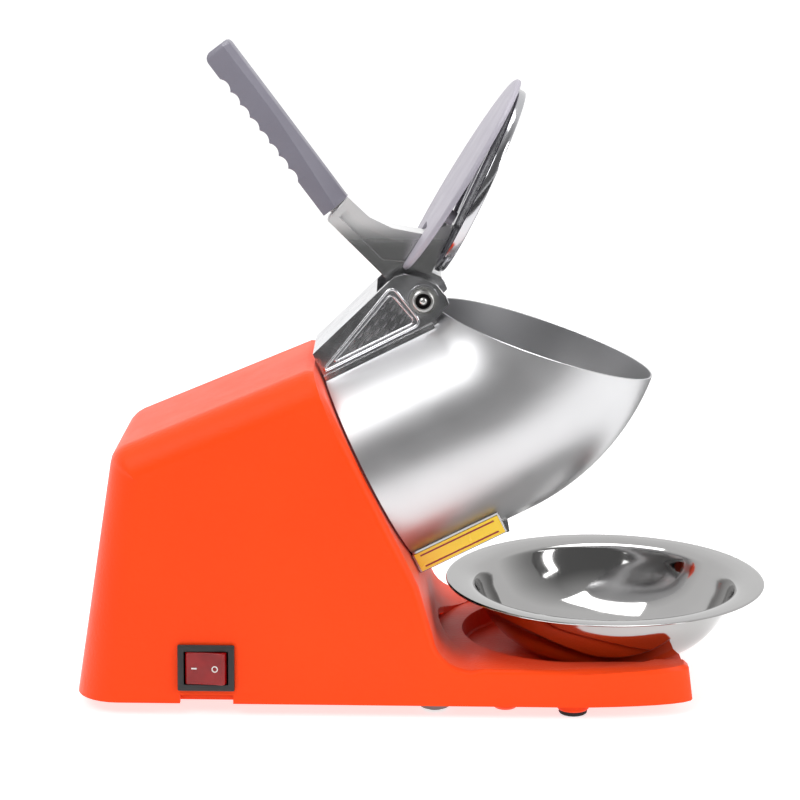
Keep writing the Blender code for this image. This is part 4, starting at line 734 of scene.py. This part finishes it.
def rippled_panel(name, sign, y, mats):
    """Thin plate whose outer face carries rows of soft ripples along the bracket."""
    outline = rounded_outline(BEAD_INNER, INNER_BEND, 3)
    low = [min(p[i] for p in outline) for i in (0, 1)]
    high = [max(p[i] for p in outline) for i in (0, 1)]
    counts = [int((high[i] - low[i]) / RIPPLE_GRID) + 1 for i in (0, 1)]
    bm = bmesh.new()
    bmesh.ops.create_grid(bm, x_segments=counts[0], y_segments=counts[1], size=1)
    for v in bm.verts:
        v.co = Vector((low[0] + (v.co.x + 1) / 2 * (high[0] - low[0]),
                       low[1] + (v.co.y + 1) / 2 * (high[1] - low[1]), 0))
    centre = sum(outline, Vector((0, 0))) / len(outline)
    for i, p in enumerate(outline):
        q = outline[(i + 1) % len(outline)]
        normal = Vector(((q - p).y, -(q - p).x, 0)).normalized()
        if normal.dot(Vector((*(centre - p), 0))) > 0:
            normal.negate()
        bmesh.ops.bisect_plane(bm, geom=bm.verts[:] + bm.edges[:] + bm.faces[:], dist=0.0001,
                               plane_co=(*p, 0), plane_no=normal, clear_outer=True)
    made = bmesh.ops.extrude_face_region(bm, geom=bm.faces[:])["geom"]
    raised = {v for v in made if isinstance(v, bmesh.types.BMVert)}
    for v in bm.verts:
        z, perp = v.co.x, v.co.y
        rise = -PANEL_T
        if v in raised:
            rows = 0.13 * sin(2 * pi * (perp + 0.24 * z) / 4.2)
            cross_rows = 0.07 * sin(z * 1.6 + perp * 2)
            rise = min(1.0, (z - low[0]) / RIPPLE_FADE) * (rows + cross_rows)
        v.co = drive_point(z * MM, perp * MM, y + sign * rise * MM)
    bmesh.ops.recalc_face_normals(bm, faces=bm.faces)
    mesh = bpy.data.meshes.new(name)
    bm.to_mesh(mesh)
    bm.free()
    # The panel's darker metal is painted shade standing for dark reflections in the recess.
    new_object(name, shaded(mesh, 50), mats["cast_painted_shade"], "root", "cast_aluminium")


def pivot_bolt(mats):
    """Pivot bolt: polished ring, a socket round a domed pin painted near black as shade in the recess, and the
    shank behind.
    """
    boss = extent("pivot_bracket").y / 2 - BOSS_INSET
    shank = [(0, -34.5), (3.4, -34.5), (4, -34)]
    head = [(4, 1.5), (5.6, 1.5), (6.0, 1.9), (6.0, 3.3), (5.6, 4.1), (5.0, 4.4), (4.5, 4.3), (4.1, 3.8),
            (3.9, 1.8), (2.5, 1.8), (2.4, 3.5), (1.9, 4.3), (1.0, 4.8), (0, 4.9)]
    profile = shank + [(r, boss / MM + z) for r, z in head]
    place = Matrix.Translation(PIVOT) @ Matrix.Rotation(pi / 2, 4, "X")
    profile = [(r * MM, z * MM) for r, z in profile]
    bolt = new_object("pivot_bolt_head", turned_mesh("pivot_bolt_head", profile, 64, False, 40, place),
                      mats["zinc_steel"], "root", "zinc_steel", "pivot_bolt")
    bolt.data.materials.append(mats["painted_socket_shade"])
    # Faces between pin and ring, deep in the socket, take the near-black steel: painted shade in the recess.
    for face in bolt.data.polygons:
        away = Vector((face.center.x - PIVOT.x, face.center.z - PIVOT.z)).length
        if PIN_R < away < SOCKET_R and face.center.y < -boss - 1.7 * MM:
            face.material_index = 1


def switch_marks(mats):
    """Generic on and off marks, raised a little from the two ends of the rocker."""
    up = Vector(JOINTS["rocker_tilt"]["axis"]).normalized()
    along = Vector((up.y, -up.x, 0)).normalized()
    out = along.cross(up)
    turn = Matrix((along, up, out)).transposed().to_4x4()
    place = Matrix.Translation(JOINTS["rocker_tilt"]["pos_m"]) @ turn
    place = place @ Matrix.Rotation(-ROCKER_PRESSED, 4, "Y")
    white = plastic("mark_white", (0.80, 0.78, 0.76), 0.4, 900, 0.00002)
    low = MARK_TOP - MARK_SUNK
    left, right, half = -7.6 * MM, -4.4 * MM, 0.4 * MM
    ends = rounded_outline([(left, -half), (right, -half), (right, half), (left, half)], 0.35 * MM, 5)
    new_object("mark_on", prism_mesh("mark_on", ends, low, MARK_TOP, place, "Z"), white, "rocker",
               "red_plastic")
    centre = Matrix.Translation((5.6 * MM, 0, 0))
    inside, outside = 1.2 * MM, 1.75 * MM
    profile = [(inside, low), (outside, low), (outside, MARK_TOP), (inside, MARK_TOP)]
    new_object("mark_off", turned_mesh("mark_off", profile, 40, True, 30, place @ centre), white,
               "rocker", "red_plastic")


def label_trim(mats):
    """Plain bars on the yellow strip."""
    face_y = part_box("chute_label")[0].y
    ink = plastic("label_ink", (0.30, 0.012, 0.008), 0.35, 700, 0.00001)
    rear, front = LABEL_BAR_ENDS
    for i, low in enumerate(LABEL_BARS):
        high = low + LABEL_BAR_WIDTH
        outline = rounded_outline([(low, rear), (high, rear), (high, front), (low, front)], 0.4 * MM, 5)
        bar = prism_mesh("bar", outline, face_y - 0.10 * MM, face_y + 0.05 * MM, DRIVE)
        new_object(f"label_bar_{i + 1}", bar, ink, "root", "yellow_film")


# ---- scene --------------------------------------------------------------
def aim(obj, at, target):
    obj.location = at
    obj.rotation_euler = (Vector(target) - Vector(at)).to_track_quat("-Z", "Y").to_euler()


def soft_light(name, at, target, size, power):
    data = bpy.data.lights.new(name, "AREA")
    data.shape = "RECTANGLE"
    data.size, data.size_y = size
    data.energy = power
    obj = bpy.data.objects.new(name, data)
    bpy.context.scene.collection.objects.link(obj)
    aim(obj, at, target)


def card(name, at, target, size, mat):
    """A dark board beside the set, seen only in reflections."""
    w, h = size[0] / 2, size[1] / 2
    mesh = bpy.data.meshes.new(name)
    mesh.from_pydata([(-w, -h, 0), (w, -h, 0), (w, h, 0), (-w, h, 0)], [], [(0, 1, 2, 3)])
    mesh.materials.append(mat)
    obj = bpy.data.objects.new(name, mesh)
    bpy.context.scene.collection.objects.link(obj)
    aim(obj, at, target)
    obj.visible_camera = False
    obj.visible_shadow = False
    obj.visible_diffuse = False


def studio_world():
    """Lights the set from behind and above, less from the front; the backdrop itself shows white."""
    world = bpy.data.worlds.new("studio_world")
    bpy.context.scene.world = world
    world.use_nodes = True
    tree = world.node_tree
    coord = tree.nodes.new("ShaderNodeTexCoord")
    split = tree.nodes.new("ShaderNodeSeparateXYZ")
    tree.links.new(coord.outputs["Generated"], split.inputs["Vector"])
    # direction's part along an axis: start, end; strength there: start, end
    ranges = (("Y", -0.5, 0.3, FRONT_LEVEL, 1.0), ("Z", 0.55, 0.95, 0.0, TOP_LEVEL))
    levels = [world_range(tree, split.outputs[axis], *values) for axis, *values in ranges]
    seen = tree.nodes.new("ShaderNodeLightPath").outputs["Is Camera Ray"]
    strength = brighter(tree, brighter(tree, *levels), seen)
    background = tree.nodes["Background"]
    background.inputs["Color"].default_value = (1, 1, 1, 1)
    tree.links.new(strength, background.inputs["Strength"])


def world_range(tree, value, start, end, low, high):
    node = tree.nodes.new("ShaderNodeMapRange")
    for socket, number in zip(("From Min", "From Max", "To Min", "To Max"), (start, end, low, high)):
        node.inputs[socket].default_value = number
    tree.links.new(value, node.inputs["Value"])
    return node.outputs["Result"]


def brighter(tree, first, second):
    node = tree.nodes.new("ShaderNodeMath")
    node.operation = "MAXIMUM"
    tree.links.new(first, node.inputs[0])
    tree.links.new(second, node.inputs[1])
    return node.outputs["Value"]


def studio_floor():
    mesh = bpy.data.meshes.new("studio_floor")
    far = FLOOR_HALF
    mesh.from_pydata([(-far, -far, 0), (far, -far, 0), (far, far, 0), (-far, far, 0)], [], [(0, 1, 2, 3)])
    white = Finish("studio_white", Roughness=0.9, Specular_IOR_Level=0.05,
                   Emission_Color=(1, 1, 1, 1), Emission_Strength=FLOOR_GLOW)
    white.colour(white.noise(2, 2), (0.56, 0.56, 0.56), (0.58, 0.58, 0.58))
    mesh.materials.append(white.mat)
    floor = bpy.data.objects.new("studio_floor", mesh)
    bpy.context.scene.collection.objects.link(floor)
    floor.location.z = -FLOOR_BELOW


def studio():
    studio_floor()
    black = Finish("card_black", Roughness=0.9)
    black.colour(black.noise(2, 2), (0.03, 0.03, 0.03), (0.035, 0.035, 0.035))
    for values in CARDS:
        card(*values, black.mat)
    studio_world()
    for values in LIGHTS:
        soft_light(*values)


def camera():
    """In front of the switch side and a little above it, looking along +Y and down."""
    data = bpy.data.cameras.new("camera")
    data.lens = FOCAL_LENGTH
    data.sensor_width = SENSOR_WIDTH
    data.clip_end = 200
    obj = bpy.data.objects.new("camera", data)
    bpy.context.scene.collection.objects.link(obj)
    aim(obj, CAMERA_AT, CAMERA_TARGET)
    bpy.context.scene.camera = obj
    bpy.context.scene.view_settings.view_transform = "Standard"


def main():
    mats = build_materials()
    for node, obj in NODES.items():
        obj.data.materials.clear()
        obj.data.materials.append(mats[SLOT_OF[node]])
    # The gasket's dark red, seen in the seam round the hopper, is painted shade of that seam.
    NODES["hopper_gasket"].data.materials[0] = mats["seam_shade_rubber"]
    camera()
    studio()
    hopper(mats)
    bowl(mats)
    presser(mats)
    grip(mats)
    bracket_trim(mats)
    pivot_bolt(mats)
    switch_marks(mats)
    label_trim(mats)
    for node, width, segments in SOFT_EDGES:
        piece = soften(node, width * MM, mats, segments)
        if node == "lever_arm":
            piece.data.materials[0] = mats["cast_arm"]


main()
